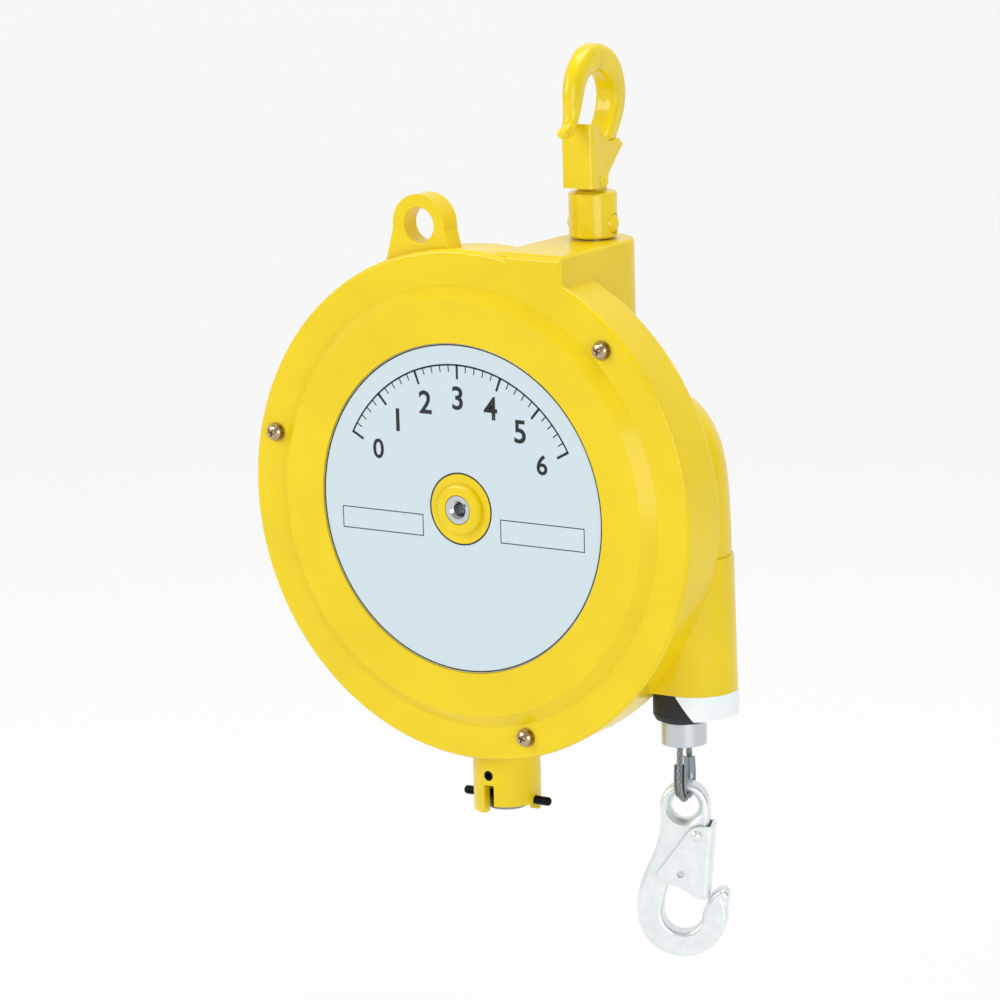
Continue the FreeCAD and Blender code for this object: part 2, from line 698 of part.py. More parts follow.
# ---- spring barrel and drum -------------------------------------------------------------------
def spring_barrel():
    """Cup for the spring, open to the front; its floor stands out as the notched lock flange."""
    centre_r = drum_bush_r + hub_wall + turn_gap
    floor_y = flange_front_y
    cup = turned([(centre_r, floor_y), (barrel_r - barrel_t, floor_y),
                  (barrel_r - barrel_t, barrel_front_y + barrel_t), (barrel_r, barrel_front_y + barrel_t),
                  (barrel_r, floor_y), (flange_r, floor_y), (flange_r, flange_back_y), (centre_r, flange_back_y)])
    bosses = [cyl(barrel_boss_r, 4, polar(barrel_edge_screw_r, a, barrel_front_y + barrel_t), Y)
              for a in round_of(barrel_screw_count, 30)]
    cup = cup.fuse(bosses).removeSplitter()
    notch_half = plunger_r + free_gap
    notch = box(flange_r - notch_depth, flange_r + 2, floor_y - 0.5, flange_back_y + 0.5, -notch_half, notch_half)
    cuts = copies_round_y(notch, round_of(notch_count, 180.0 / notch_count))
    cuts += [cyl(barrel_screw_r + 0.2, 2 * flange_t, polar(barrel_screw_pitch_r, a, floor_y - 1), Y)
             for a in round_of(barrel_screw_count)]
    cuts += [cyl(barrel_screw_r, 5, polar(barrel_edge_screw_r, a, barrel_front_y + barrel_t - 0.5), Y)
             for a in round_of(barrel_screw_count, 30)]
    return cup.cut(cuts)


def barrel_cover():
    disc = pipe(barrel_r, shaft_r + bush_wall, barrel_t, V(0, barrel_front_y, 0), Y)
    return disc.cut([cyl(barrel_screw_r + 0.2, barrel_t, polar(barrel_edge_screw_r, a, barrel_front_y), Y)
                     for a in round_of(barrel_screw_count, 30)])


def barrel_screws():
    """Half the screws hold the barrel to the drum, half hold its cover."""
    screws = []
    for a in round_of(barrel_screw_count):
        place = polar(barrel_screw_pitch_r, a, flange_front_y)
        shank = cyl(barrel_screw_r - 0.02, flange_t + web_t, place, Y)
        screws.append(cyl(3.4, 0.35, place, -Y).fuse(shank))
    for a in round_of(barrel_screw_count, 30):
        place = polar(barrel_edge_screw_r, a, barrel_front_y)
        shank = cyl(barrel_screw_r - 0.02, barrel_t + 3.5, place, Y)
        screws.append(cyl(3.4, 1.2, place, -Y).fuse(shank))
    return Part.makeCompound([s.removeSplitter() for s in screws])


def power_spring():
    """Flat spiral band from the barrel wall to the arbor."""
    out_r = barrel_r - barrel_t - 2 * barrel_boss_r - 1
    in_r = arbor_r + free_gap + spring_t / 2
    steps = 12 * spring_turns
    walls = []
    for side in (spring_t / 2, -spring_t / 2):
        points = []
        for i in range(steps + 1):
            share = i / steps
            r = in_r + (out_r - in_r) * share + side
            points.append(polar(r, 360.0 * spring_turns * share, spring_front_y + 0.3))
        curve = Part.BSplineCurve()
        curve.interpolate(points)
        walls.append((curve, points))
    (outer, a), (inner, b) = walls
    wire = Part.Wire([outer.toShape(), Part.LineSegment(a[-1], b[-1]).toShape(), inner.toShape(),
                      Part.LineSegment(b[0], a[0]).toShape()])
    return Part.Face(wire).extrude(V(0, spring_width - 0.6, 0))


def groove_places():
    """Y of each turn, from the hanging end backwards."""
    return [rope_y + i * rope_pitch for i in range(rope_turns)]


def rope_drum():
    """Grooved rim on a web with round windows, screwed to the back of the barrel."""
    land_r = rope_x - 0.1
    inner_r = land_r - rope_r - drum_wall
    web_back = flange_back_y + web_t
    hub_out = drum_bush_r + hub_wall
    lip_r = rear_in_r - turn_gap
    drum = turned([(drum_bush_r, flange_front_y + 1), (hub_out, flange_front_y + 1), (hub_out, flange_back_y),
                   (land_r, flange_back_y), (land_r, drum_back_y - drum_lip), (lip_r, drum_back_y - drum_lip),
                   (lip_r, drum_back_y), (inner_r, drum_back_y), (inner_r, web_back), (hub_out, web_back),
                   (hub_out, drum_back_y), (drum_bush_r, drum_back_y)])
    drum = drum.cut([Part.makeTorus(rope_x, rope_r + groove_gap, V(0, y, 0), Y) for y in groove_places()])
    window_pitch_r = (hub_out + barrel_screw_pitch_r) / 2 - 1
    windows = [cyl(window_r, 2 * web_t, polar(window_pitch_r, a, flange_back_y - 1), Y)
               for a in round_of(window_count, 30)]
    holes = [cyl(barrel_screw_r, 2 * web_t, polar(barrel_screw_pitch_r, a, flange_back_y - 1), Y)
             for a in round_of(barrel_screw_count)]
    return drum.cut(windows + holes)


def drum_bushes():
    length = (drum_back_y - flange_front_y) * 0.35
    rings = [pipe(drum_bush_r, shaft_r + run_gap, length, V(0, y, 0), Y)
             for y in (flange_front_y + 1, drum_back_y - length)]
    return Part.makeCompound(rings)


def rope_wrap():
    """The wound rope: one ring per turn, the hanging one left open where the rope leaves it."""
    rings = []
    for i, y in enumerate(groove_places()):
        sweep = 300.0 if i == 0 else 360.0
        section = Part.Face(Part.Wire(Part.Edge(Part.Circle(V(rope_x, y, 0), Z, rope_r))))
        rings.append(section.revolve(O, Y, -sweep))
    return Part.makeCompound(rings)


# ---- top hook ---------------------------------------------------------------------------------
def section(p, z, dir_p, dir_z, half, depth, power=2.6):
    """Closed, softly squared section of a forged bar; half is in the hook's plane, depth across it."""
    points = []
    for i in range(16):
        a = 2 * math.pi * i / 16
        c, s = math.cos(a), math.sin(a)
        u = math.copysign(abs(c) ** (2 / power), c) * half
        v = math.copysign(abs(s) ** (2 / power), s) * depth
        points.append(V(p + u * dir_p, v, z + u * dir_z))
    curve = Part.BSplineCurve()
    curve.interpolate(points, PeriodicFlag=True)
    return Part.Wire(curve.toShape())


def bar_between(outer, inner, depth, power=2.6):
    """A section whose outside and inside points are given."""
    (op, oz), (ip, iz) = outer, inner
    width = math.hypot(op - ip, oz - iz)
    return section((op + ip) / 2, (oz + iz) / 2, (op - ip) / width, (oz - iz) / width, width / 2, depth, power)


def top_hook():
    """Forged hook with a round foot: shank, spine, bow and out-turned tip lofted through its sections."""
    def ring(degrees, power, depth, inset=0.0):
        a = math.radians(degrees)
        out_r, in_r = bow_r - inset, seat_r + inset
        outer = (bow_p + out_r * math.cos(a), bow_z + out_r * math.sin(a))
        inner = (bow_p + in_r * math.cos(a), bow_z - seat_drop + in_r * math.sin(a))
        return bar_between(outer, inner, depth - inset, power)

    flat = 5.0
    spine = [bar_between((6.0, foot_height - 3), (-6.0, foot_height - 3), hook_half_t, flat),
             bar_between((6.2, 29), (-5.8, 29), hook_half_t, flat),
             bar_between((9.4, 38), (-3.4, 39), hook_half_t, flat),
             bar_between((15.6, 46), (4.0, 48), hook_half_t, flat),
             bar_between((22.4, 54.5), (11.4, 56), hook_half_t, flat),
             ring(0, flat, hook_half_t), ring(30, 4.5, hook_half_t), ring(60, 3.8, hook_half_t * 0.97),
             ring(90, 3.2, hook_half_t * 0.93)]
    arm = [ring(70, 3.4, hook_half_t * 0.95, 0.3), ring(90, 3.1, hook_half_t * 0.93, 0.07), ring(120, 2.7, 5.3),
           ring(150, 2.4, 4.9), ring(174, 2.2, 4.6), bar_between((-24.2, 63.5), (-15.8, 62.5), 4.2, 2.1),
           bar_between((-26.2, 58.4), (-19.4, 56.0), 3.6, 2.0), bar_between((-29.6, 56.2), (-26.6, 51.6), 2.6, 2.0)]
    bow = [Part.makeLoft(spine, True, False), Part.makeLoft(arm, True, False)]
    tip = Part.makeSphere(2.7, V(-29.8, 0, 54.3))
    foot = cyl(foot_r, foot_height, O)
    foot = rounded(foot, 1.2, lambda e: isinstance(e.Curve, Part.Circle))
    collar = Part.makeCone(foot_r - 1.4, foot_r - 3.6, 0.9, V(0, 0, foot_height - 0.1))
    shape = foot.fuse(bow + [collar, tip])
    seats = [cyl(pin_head_r + 0.2, 4, V(0, side * (foot_r - pin_sink), pin_height), Y * side) for side in (-1, 1)]
    shape = shape.cut(seats + [cyl(foot_bore_r, foot_bore_depth, O),
                               cyl(pin_r, 4 * foot_r, V(0, -2 * foot_r, pin_height), Y),
                               cyl(latch_rivet_r, 4 * foot_r, V(top_latch_p, -2 * foot_r, top_latch_z), Y)])
    return on_hook(shape, V(hook_x, hook_y, foot_z), top_hook_turn + 90)


def rivet(radius, head_r, length, p, z, head_h=1.7):
    """Rivet across a hook, with a domed head at each end."""
    pin = cyl(radius - 0.02, length, V(p, -length / 2, z), Y)
    heads = []
    for side in (-1, 1):
        dome_r = (head_r ** 2 + head_h ** 2) / (2 * head_h)
        ball = Part.makeSphere(dome_r, V(p, side * (length / 2 + head_h - dome_r), z))
        keep = cyl(head_r + 1, head_h + 1, V(p, side * length / 2, z), Y * side)
        heads.append(ball.common(keep))
    return pin.fuse(heads).removeSplitter()


def stem_pin():
    pin = rivet(pin_r, pin_head_r, 2 * (foot_r - pin_sink), 0, pin_height, 2.8)
    return on_hook(pin, V(hook_x, hook_y, foot_z), top_hook_turn + 90)


def hook_stem():
    """Swivel stem: pinned into the foot above, threaded for the nut below."""
    top = foot_z + foot_bore_depth - seat_gap
    bottom = nut_bottom_z() - 4
    stem = cyl(stem_r, top - bottom, V(hook_x, hook_y, bottom))
    hole = cyl(pin_r, 4 * foot_r, V(0, -2 * foot_r, pin_height), Y)
    return stem.cut(on_hook(hole, V(hook_x, hook_y, foot_z), top_hook_turn + 90))


def nut_bottom_z():
    return block_top_z - stem_wall - seat_gap - thrust_t - nut_height


def thrust_washer():
    return pipe(thrust_r, stem_r + 0.1, thrust_t, V(hook_x, hook_y, nut_bottom_z() + nut_height))


def stem_nut():
    corners = [V(hook_x + nut_across / math.sqrt(3) * math.cos(math.radians(a)),
                 hook_y + nut_across / math.sqrt(3) * math.sin(math.radians(a)), nut_bottom_z())
               for a in round_of(6)]
    return prism(corners, V(0, 0, nut_height)).cut(cyl(stem_r, nut_height, V(hook_x, hook_y, nut_bottom_z())))


def folded_latch(outline, width, back_shift, holes, bend):
    """Sheet-metal channel: two side plates of this outline joined by a bridge along its outer edge."""
    half = width / 2
    outer = prism([V(p, -half, z) for p, z in outline], V(0, width, 0))
    inner_half = half - latch_gauge
    inner = prism([V(p + back_shift, -inner_half, z) for p, z in outline], V(0, 2 * inner_half, 0))
    taller = [inner.copy() for _ in (0, 1)]
    taller[0].translate(V(0, 0, 2 * latch_gauge))
    taller[1].translate(V(0, 0, -2 * latch_gauge))
    shape = outer
    if bend:
        side = min(outline)[0] if back_shift > 0 else max(outline)[0]
        near = lambda e: (abs(abs(e.CenterOfMass.y) - half) < 0.01 and abs(e.CenterOfMass.x - side) < bend
                          and e.BoundBox.ZLength > e.Length * 0.9)
        shape = rounded(shape, latch_gauge * 1.6, near)
    shape = shape.cut([inner] + taller)
    return shape.cut([cyl(r, 2 * width, V(p, -width, z), Y) for r, p, z in holes])


def latch_width():
    return 2 * (hook_half_t + latch_gap + latch_gauge)


def top_latch():
    outline = [(-16.4, 25.6), (-1.5, 24.9), (0.8, 26.4), (1.0, 31.0), (12.6, 40.4), (17.2, 43.8), (13.0, 47.2),
               (7.8, 46.4), (2.6, 46.8), (-1.6, 49.2), (-6.0, 53.2), (-9.2, 56.4), (-16.4, 57.4)]
    hole = latch_rivet_r + run_gap
    shape = folded_latch(outline, latch_width(), latch_gauge, [(hole, top_latch_p, top_latch_z)], 1.0)
    return on_hook(shape, V(hook_x, hook_y, foot_z), top_hook_turn + 90)


def top_latch_rivet():
    pin = rivet(latch_rivet_r, latch_rivet_head_r, latch_width() + 0.2, top_latch_p, top_latch_z)
    return on_hook(pin, V(hook_x, hook_y, foot_z), top_hook_turn + 90)


# ---- rope end ---------------------------------------------------------------------------------
def rope_guide():
    """Nylon guide: spigot in the tower, bumper seat, and a mouth that slants open to the front."""
    body = cyl(tower_r + 0.3, guide_h, V(tower_x, rope_y, guide_bottom_z))
    body = rounded(body, 0.8, lambda e: e.BoundBox.ZMax < guide_bottom_z + 0.01)
    spigot = cyl(tower_r - tower_wall - 0.1, guide_spigot_h - 0.5, V(tower_x, rope_y, tower_bottom_z))
    body = body.fuse(spigot).removeSplitter()
    reach = 3 * tower_r
    z0, z1 = guide_bottom_z - 1, tower_bottom_z
    grow = (mouth_bottom_half - mouth_top_half) / guide_h
    mouth = prism([V(rope_x - reach, rope_y - reach, z0), V(rope_x + mouth_bottom_half + grow, rope_y - reach, z0),
                   V(rope_x + mouth_top_half, rope_y - reach, z1), V(rope_x - reach, rope_y - reach, z1)],
                  V(0, reach, 0))
    seat = cyl(bumper_r + free_gap, guide_h, V(rope_x, rope_y, guide_bottom_z))
    left = box(rope_x - reach, rope_x, rope_y - reach, rope_y, guide_bottom_z - 1, tower_bottom_z)
    cone = Part.makeCone(bumper_nose_r + 3.5, bumper_nose_r + 1.5, bumper_nose_h + 1, V(rope_x, rope_y, tower_bottom_z))
    hole = box(rope_x - 5, rope_x + 5, rope_y - 10, rope_y + 8, tower_bottom_z, tower_bottom_z + guide_spigot_h)
    return body.cut([mouth, seat, left, cone, hole])


def rope_bumper():
    nose_z = bumper_bottom_z + bumper_h
    profile = [(rope_r + free_gap / 2, bumper_bottom_z), (bumper_r - 3.4, bumper_bottom_z),
               (bumper_r - 1.2, bumper_bottom_z + 0.9), (bumper_r, bumper_bottom_z + 3.4), (bumper_r, nose_z),
               (bumper_nose_r + 1, nose_z), (bumper_nose_r - 1, nose_z + bumper_nose_h),
               (rope_r + free_gap / 2, nose_z + bumper_nose_h)]
    return turned(profile, Z, V(rope_x, rope_y, 0))


def rope_ferrule():
    body = cyl(ferrule_r, ferrule_h, V(rope_x, rope_y, ferrule_bottom_z))
    return rounded(body, 0.5, lambda e: isinstance(e.Curve, Part.Circle))


def rope_run():
    return cyl(rope_r, -(ferrule_bottom_z + ferrule_h), V(rope_x, rope_y, ferrule_bottom_z + ferrule_h))


def loop_places():
    """Bend centre height, and the point and direction where each leg leaves the bend."""
    centre_z = bend_z + loop_r
    top_z = ferrule_bottom_z
    lean = 0.0
    for _ in range(20):
        leg_n = loop_r * math.cos(lean)
        leg_z = centre_z + loop_r * math.sin(lean)
        lean = math.atan2(leg_n - loop_neck, top_z - leg_z)
    return centre_z, leg_n, leg_z, lean


def along_loop(profile):
    """Sweep a section, given round the loop's lowest point, along the bend and both legs."""
    centre_z, leg_n, leg_z, lean = loop_places()
    side = Part.Face(Part.Wire(profile))
    centre = V(0, 0, centre_z)
    start = side.copy()
    start.rotate(centre, X, 90 + math.degrees(lean))
    bend = start.revolve(centre, X, -(180 + 2 * math.degrees(lean)))
    run = (ferrule_bottom_z - leg_z) / math.cos(lean)
    end = side.copy()
    end.rotate(centre, X, -(90 + math.degrees(lean)))
    legs = [start.extrude(V(0, -run * math.sin(lean), run * math.cos(lean))),
            end.extrude(V(0, run * math.sin(lean), run * math.cos(lean)))]
    trim = box(-40, 40, -40, 40, centre_z - 40, ferrule_bottom_z - 0.01)
    return joined([bend] + legs).common(trim)


def rope_loop():
    ring = Part.Edge(Part.Circle(V(0, 0, bend_z), Y, loop_rope_r))
    return on_hook(along_loop([ring]), V(rope_x, rope_y, 0), loop_turn)


def thimble():
    """Sheet channel on the inside of the loop."""
    out_r, in_r = thimble_r, thimble_r - thimble_wall
    spread = math.radians(12)
    z = bend_z

    def at(r, a):
        return V(r * math.cos(a), 0, z + r * math.sin(a))

    left, right, top = math.pi - spread, spread, math.pi / 2
    edges = [Part.Arc(at(out_r, right), at(out_r, top), at(out_r, left)).toShape(),
             Part.LineSegment(at(out_r, left), at(in_r, left)).toShape(),
             Part.Arc(at(in_r, left), at(in_r, top), at(in_r, right)).toShape(),
             Part.LineSegment(at(in_r, right), at(out_r, right)).toShape()]
    channel = along_loop(edges)
    high = box(-40, 40, -40, 40, ferrule_bottom_z - 9, ferrule_bottom_z + 1)
    return on_hook(channel.cut(high), V(rope_x, rope_y, 0), loop_turn)


# ---- lower hook -------------------------------------------------------------------------------
def lower_hook():
    """Flat forged hook: eye, shank, bowl and tip cut to one outline with rounded edges."""
    half = hook_t / 2
    out_left = [(-eye_r, -1.5), (-12.3, -12), (-15.2, -22.5), (-20.4, -34), (-23.8, -45),
                (bowl_p - bowl_out_r, bowl_z)]
    spine = Part.BSplineCurve()
    spine.interpolate([V(p, 0, z) for p, z in out_left])
    bottom = Part.Arc(V(bowl_p - bowl_out_r, 0, bowl_z), V(bowl_p, 0, bowl_z - bowl_out_r),
                      V(bowl_p + bowl_out_r, 0, bowl_z))
    tip = Part.BSplineCurve()
    tip.interpolate([V(bowl_p + bowl_out_r, 0, bowl_z), V(20.8, 0, -48.6), V(21.0, 0, -44.6), V(18.6, 0, -42.2),
                     V(14.6, 0, -43.6), V(10.8, 0, -48.0), V(bowl_p + bowl_in_r, 0, bowl_z)])
    bowl = Part.Arc(V(bowl_p + bowl_in_r, 0, bowl_z), V(bowl_p, 0, bowl_z - bowl_in_r), V(bowl_p - bowl_in_r, 0, bowl_z))
    neck = Part.BSplineCurve()
    neck.interpolate([V(bowl_p - bowl_in_r, 0, bowl_z), V(-11.0, 0, -48), V(-7.6, 0, -38), V(-1.6, 0, -29),
                      V(5.0, 0, -22), V(9.6, 0, -15), V(eye_r, 0, -1.5)])
    eye = Part.Arc(V(eye_r, 0, -1.5), V(0, 0, eye_r), V(-eye_r, 0, -1.5))
    wire = Part.Wire([spine.toShape(), bottom.toShape(), tip.toShape(), bowl.toShape(), neck.toShape(),
                      eye.toShape()])
    body = Part.Face(wire).extrude(V(0, hook_t, 0))
    body.translate(V(0, -half, 0))
    body = rounded(body, 2.0, lambda e: e.BoundBox.YLength < 0.01)
    round_r = eye_hole_r + eye_round
    hole = cyl(round_r, hook_t, V(0, -half, 0), Y).cut(Part.makeTorus(round_r, eye_round, O, Y))
    shape = body.cut([hole, cyl(latch_rivet_r, 4 * hook_t, V(lower_latch_p, -2 * hook_t, lower_latch_z), Y)])
    return on_hook(shape, V(rope_x, rope_y, eye_z), lower_turn)


def lower_width():
    return hook_t + 2 * (latch_gap + latch_gauge)


def lower_latch():
    outline = [(14.8, -9.6), (7.4, -9.2), (3.6, -10.4), (1.6, -12.6), (-13.8, -33.6), (-14.2, -36.4), (-11.8, -38.8),
               (-5.0, -39.4), (1.6, -42.8), (6.2, -46.2), (11.4, -46.4)]
    holes = [(latch_rivet_r + run_gap, lower_latch_p, lower_latch_z), (latch_hole_r, -1.9, -33.6)]
    shape = folded_latch(outline, lower_width(), -latch_gauge, holes, 3.0)
    return on_hook(shape, V(rope_x, rope_y, eye_z), lower_turn)


def lower_latch_rivet():
    pin = rivet(latch_rivet_r, lower_rivet_head_r, lower_width() + 0.2, lower_latch_p, lower_latch_z)
    return on_hook(pin, V(rope_x, rope_y, eye_z), lower_turn)


# ---- drum lock --------------------------------------------------------------------------------
def lock_sleeve():
    top = lock_well_top() - 0.02
    return pipe(lock_bore_r - 0.02, plunger_r + free_gap, sleeve_h, V(lock_x, lock_y, top - sleeve_h))


def lock_plunger():
    """Round plunger: its tip waits under the drum's notched flange, its foot carries the bar."""
    tip_z = -(flange_r + plunger_tip_gap)
    foot_low = bar_z - bar_r - 2.5
    stem = cyl(plunger_r, tip_z - foot_low, V(lock_x, lock_y, foot_low))
    collar_top = lock_well_top() - sleeve_h - 9
    collar = cyl(plunger_r + 2.6, 2.5, V(lock_x, lock_y, collar_top - 2.5))
    foot = cyl(lock_bore_r - 2.5, 5, V(lock_x, lock_y, foot_low))
    return joined([stem, collar, foot]).cut(cyl(bar_r, 4 * lock_r, V(lock_x - 2 * lock_r, lock_y, bar_z), X))


def lock_handle():
    """Cross bar with rounded ends."""
    body = cyl(bar_r - 0.02, 2 * bar_half, V(lock_x - bar_half, lock_y, bar_z), X)
    return rounded(body, bar_r * 0.7, lambda e: isinstance(e.Curve, Part.Circle))


def lock_spring():
    """Coil between the sleeve and the plunger's collar, as turns of wire."""
    wire_r = 0.7
    low = lock_well_top() - sleeve_h - 9 + wire_r + 0.1
    high = lock_well_top() - sleeve_h - wire_r - 0.1
    count = 4
    rings = []
    for i in range(count):
        z = low + (high - low) * i / (count - 1)
        rings.append(Part.makeTorus(plunger_r + 1.7, wire_r, V(lock_x, lock_y, z), Z))
    return Part.makeCompound(rings)


def lock_set_screw():
    length = lock_r - lock_bore_r - 0.3
    body = cyl(set_screw_r - 0.02, length, V(lock_x, lock_y - lock_r + 0.2, set_screw_z), Y)
    socket = [V(lock_x + 1.5 * math.cos(math.radians(a)), lock_y - lock_r, set_screw_z + 1.5 * math.sin(math.radians(a)))
              for a in round_of(6)]
    return body.cut(prism(socket, V(0, 2.4, 0)))


def build():
    os.makedirs("parts", exist_ok=True)
    pieces = [main_case, front_cover, nameplate, front_bush, rear_bush, main_shaft, shaft_circlips, worm_wheel,
              worm_shaft, worm_bushes, worm_cover, worm_cover_screws, rope_drum, drum_bushes, rope_wrap,
              spring_barrel, barrel_cover, barrel_screws, power_spring, top_hook, stem_pin, hook_stem,
              thrust_washer, stem_nut, top_latch, top_latch_rivet, rope_guide, rope_bumper, rope_ferrule,
              rope_run, rope_loop, thimble, lower_hook, lower_latch, lower_latch_rivet, lock_sleeve,
              lock_plunger, lock_handle, lock_spring, lock_set_screw]
    for piece in pieces:
        save(piece.__name__, piece())
    for name, shape in cover_fasteners().items():
        save(name, shape)


build()
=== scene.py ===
"""Spring balancer with a die-cast yellow case, a printed dial plate, a swivel hook and a wire rope end.

Run as a script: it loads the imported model, dresses each part and sets the stage.
"""
import math

import bmesh
import bpy
from bpy.props import FloatProperty, FloatVectorProperty, IntProperty, PointerProperty
from mathutils import Matrix, Vector


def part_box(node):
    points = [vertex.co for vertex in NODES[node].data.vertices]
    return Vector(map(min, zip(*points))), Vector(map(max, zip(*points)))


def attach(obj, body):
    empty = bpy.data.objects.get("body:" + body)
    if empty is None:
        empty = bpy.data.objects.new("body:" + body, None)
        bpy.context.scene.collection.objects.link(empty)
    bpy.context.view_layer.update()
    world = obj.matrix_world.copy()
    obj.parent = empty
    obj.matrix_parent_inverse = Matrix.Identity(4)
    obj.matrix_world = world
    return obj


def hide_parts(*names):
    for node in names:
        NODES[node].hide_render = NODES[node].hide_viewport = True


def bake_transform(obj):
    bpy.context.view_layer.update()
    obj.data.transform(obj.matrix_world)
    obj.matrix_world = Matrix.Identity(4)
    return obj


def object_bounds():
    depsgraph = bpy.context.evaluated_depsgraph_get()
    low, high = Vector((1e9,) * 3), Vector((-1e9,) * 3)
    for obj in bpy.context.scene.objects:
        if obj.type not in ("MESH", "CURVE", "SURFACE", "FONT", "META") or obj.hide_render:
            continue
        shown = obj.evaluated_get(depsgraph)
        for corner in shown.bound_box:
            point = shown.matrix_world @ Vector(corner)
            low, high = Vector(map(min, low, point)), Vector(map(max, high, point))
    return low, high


bl_info = {
    "name": "Spring Balancer Dressing",
    "version": (1, 0, 0),
    "blender": (4, 5, 0),
    "location": "View3D > Sidebar > Balancer",
    "description": "Dresses the packed spring balancer and sets its stage",
    "category": "Object",
}

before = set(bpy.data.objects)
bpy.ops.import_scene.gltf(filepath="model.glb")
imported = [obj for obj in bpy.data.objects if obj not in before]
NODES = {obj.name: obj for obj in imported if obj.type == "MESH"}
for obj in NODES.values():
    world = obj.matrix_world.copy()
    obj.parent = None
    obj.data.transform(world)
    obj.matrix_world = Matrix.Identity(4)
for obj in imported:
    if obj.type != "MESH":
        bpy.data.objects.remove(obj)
cad_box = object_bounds()
MM = 0.001


def linear(hex_code):
    """Linear RGB of an sRGB hex value such as "F2D600"."""
    result = []
    for i in (0, 2, 4):
        c = int(hex_code[i:i + 2], 16) / 255
        result.append(c / 12.92 if c <= 0.04045 else ((c + 0.055) / 1.055) ** 2.4)
    return tuple(result)


def centre_of(node):
    low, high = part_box(node)
    return (Vector(low) + Vector(high)) / 2


PLATE_LOW, PLATE_HIGH = (Vector(corner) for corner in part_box("nameplate"))
PLATE_CENTRE = (PLATE_LOW + PLATE_HIGH) / 2
PLATE_RADIUS = (PLATE_HIGH.x - PLATE_LOW.x) / 2
PLATE_HOLE = 17.5 * MM
ROPE_RADIUS = (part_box("rope_run")[1][0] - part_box("rope_run")[0][0]) / 2
LOOP_ROPE_RADIUS = ROPE_RADIUS * 0.97       # pulled a little thinner where it lies in the thimble
LOOP_TURN = math.radians(17.0)              # the loop's turn about the rope
LOOP_BEND = 10.95 * MM                      # centre line of its bend
LOOP_NECK = 8.2 * MM                        # half the spacing of its legs in the ferrule
STRAND_SHARE = 0.335                        # a strand's radius as a share of the rope's
CAMERA_SHIFT = (19.205 * MM, 4.438 * MM)    # right and up, so that the hub lies off the picture's centre


# ---- settings -----------------------------------------------------------------------------------
def colour(name, description, hex_code):
    return FloatVectorProperty(name=name, description=description, subtype="COLOR", size=3,
                               min=0, max=1, default=linear(hex_code))


def length(name, description, value):
    return FloatProperty(name=name, description=description, subtype="DISTANCE", unit="LENGTH", default=value)


class BalancerColours(bpy.types.PropertyGroup):
    case_yellow: colour("Case yellow", "Powder coat of the case and its cover", "EDCF00")
    hook_yellow: colour("Hook yellow", "Paint of the top hook and its latch", "EED204")
    plate_silver: colour("Plate silver", "Anodised sheet of the dial plate", "CBDBE3")
    print_black: colour("Print black", "Screen print on the plate", "101214")
    nylon_white: colour("Nylon white", "Moulded rope guide", "EEF5FA")
    rubber_black: colour("Rubber black", "Bumper above the ferrule", "15171A")
    zinc: colour("Bright zinc", "Plated load hook and its latch", "EEF4F6")
    screw_plate: colour("Screw plate", "Yellow passivated screws", "BFA88C")


class PlatePrint(bpy.types.PropertyGroup):
    border: length("Border", "Width of the black ring at the rim", 0.0007)
    dial_radius: length("Dial radius", "Outer ends of the scale's ticks", 0.072)
    number_height: length("Number height", "Height of the figures on the scale", 0.0135)
    steps: IntProperty(name="Steps", description="Numbered divisions of the scale", default=6, min=2, max=12)
    film: length("Film", "Thickness of the print on the plate", 0.00003)


class RopeLay(bpy.types.PropertyGroup):
    strands: IntProperty(name="Strands", description="Outer strands round the core", default=6, min=3, max=8)
    lay: length("Lay", "Length of one full turn of a strand", 0.021)
    sides: IntProperty(name="Sides", description="Sides of each strand's tube", default=8, min=5, max=16)


class StageSetup(bpy.types.PropertyGroup):
    lens: FloatProperty(name="Lens", description="Focal length in millimetres", default=162.0, min=20)
    azimuth: FloatProperty(name="Azimuth", description="Camera's bearing", subtype="ANGLE",
                           default=math.radians(33.826))
    elevation: FloatProperty(name="Elevation", description="Camera's height angle", subtype="ANGLE",
                             default=math.radians(11.787))
    roll: FloatProperty(name="Roll", description="Camera's tilt", subtype="ANGLE",
                        default=math.radians(-1.55))
    distance: length("Distance", "From the hub to the camera", 2.202893)
    floor_drop: length("Floor drop", "Floor below the lowest piece", 0.06)


# ---- nodes and materials ------------------------------------------------------------------------
def add_node(tree, kind, settings=None, links=None):
    """Add a node, set its properties and input values, and link its inputs from other nodes' outputs."""
    node = tree.nodes.new(kind)
    for name, value in (settings or {}).items():
        if isinstance(name, str) and hasattr(node, name):
            setattr(node, name, value)
        else:
            node.inputs[name].default_value = value
    for name, (source, output) in (links or {}).items():
        tree.links.new(source.outputs[output], node.inputs[name])
    return node


def new_material(name, base, shader=None):
    """A Principled surface of a plain colour; returns the material, its tree and its shader."""
    material = bpy.data.materials.new(name)
    material.use_nodes = True
    tree = material.node_tree
    surface = next(n for n in tree.nodes if n.type == "BSDF_PRINCIPLED")
    surface.inputs["Base Color"].default_value = (*base, 1)
    for socket, value in (shader or {}).items():
        surface.inputs[socket].default_value = value
    return material, tree, surface


def object_space(tree, stretch=(1, 1, 1)):
    """Object coordinates in millimetres, stretched where the grain runs."""
    where = add_node(tree, "ShaderNodeTexCoord")
    return add_node(tree, "ShaderNodeVectorMath",
                    {"operation": "MULTIPLY", 1: tuple(1000 * s for s in stretch)}, {0: (where, "Object")})


def bump_from(tree, surface, source, output, strength, height_mm):
    bump = add_node(tree, "ShaderNodeBump", {"Strength": strength, "Distance": height_mm * MM},
                    {"Height": (source, output)})
    tree.links.new(bump.outputs["Normal"], surface.inputs["Normal"])


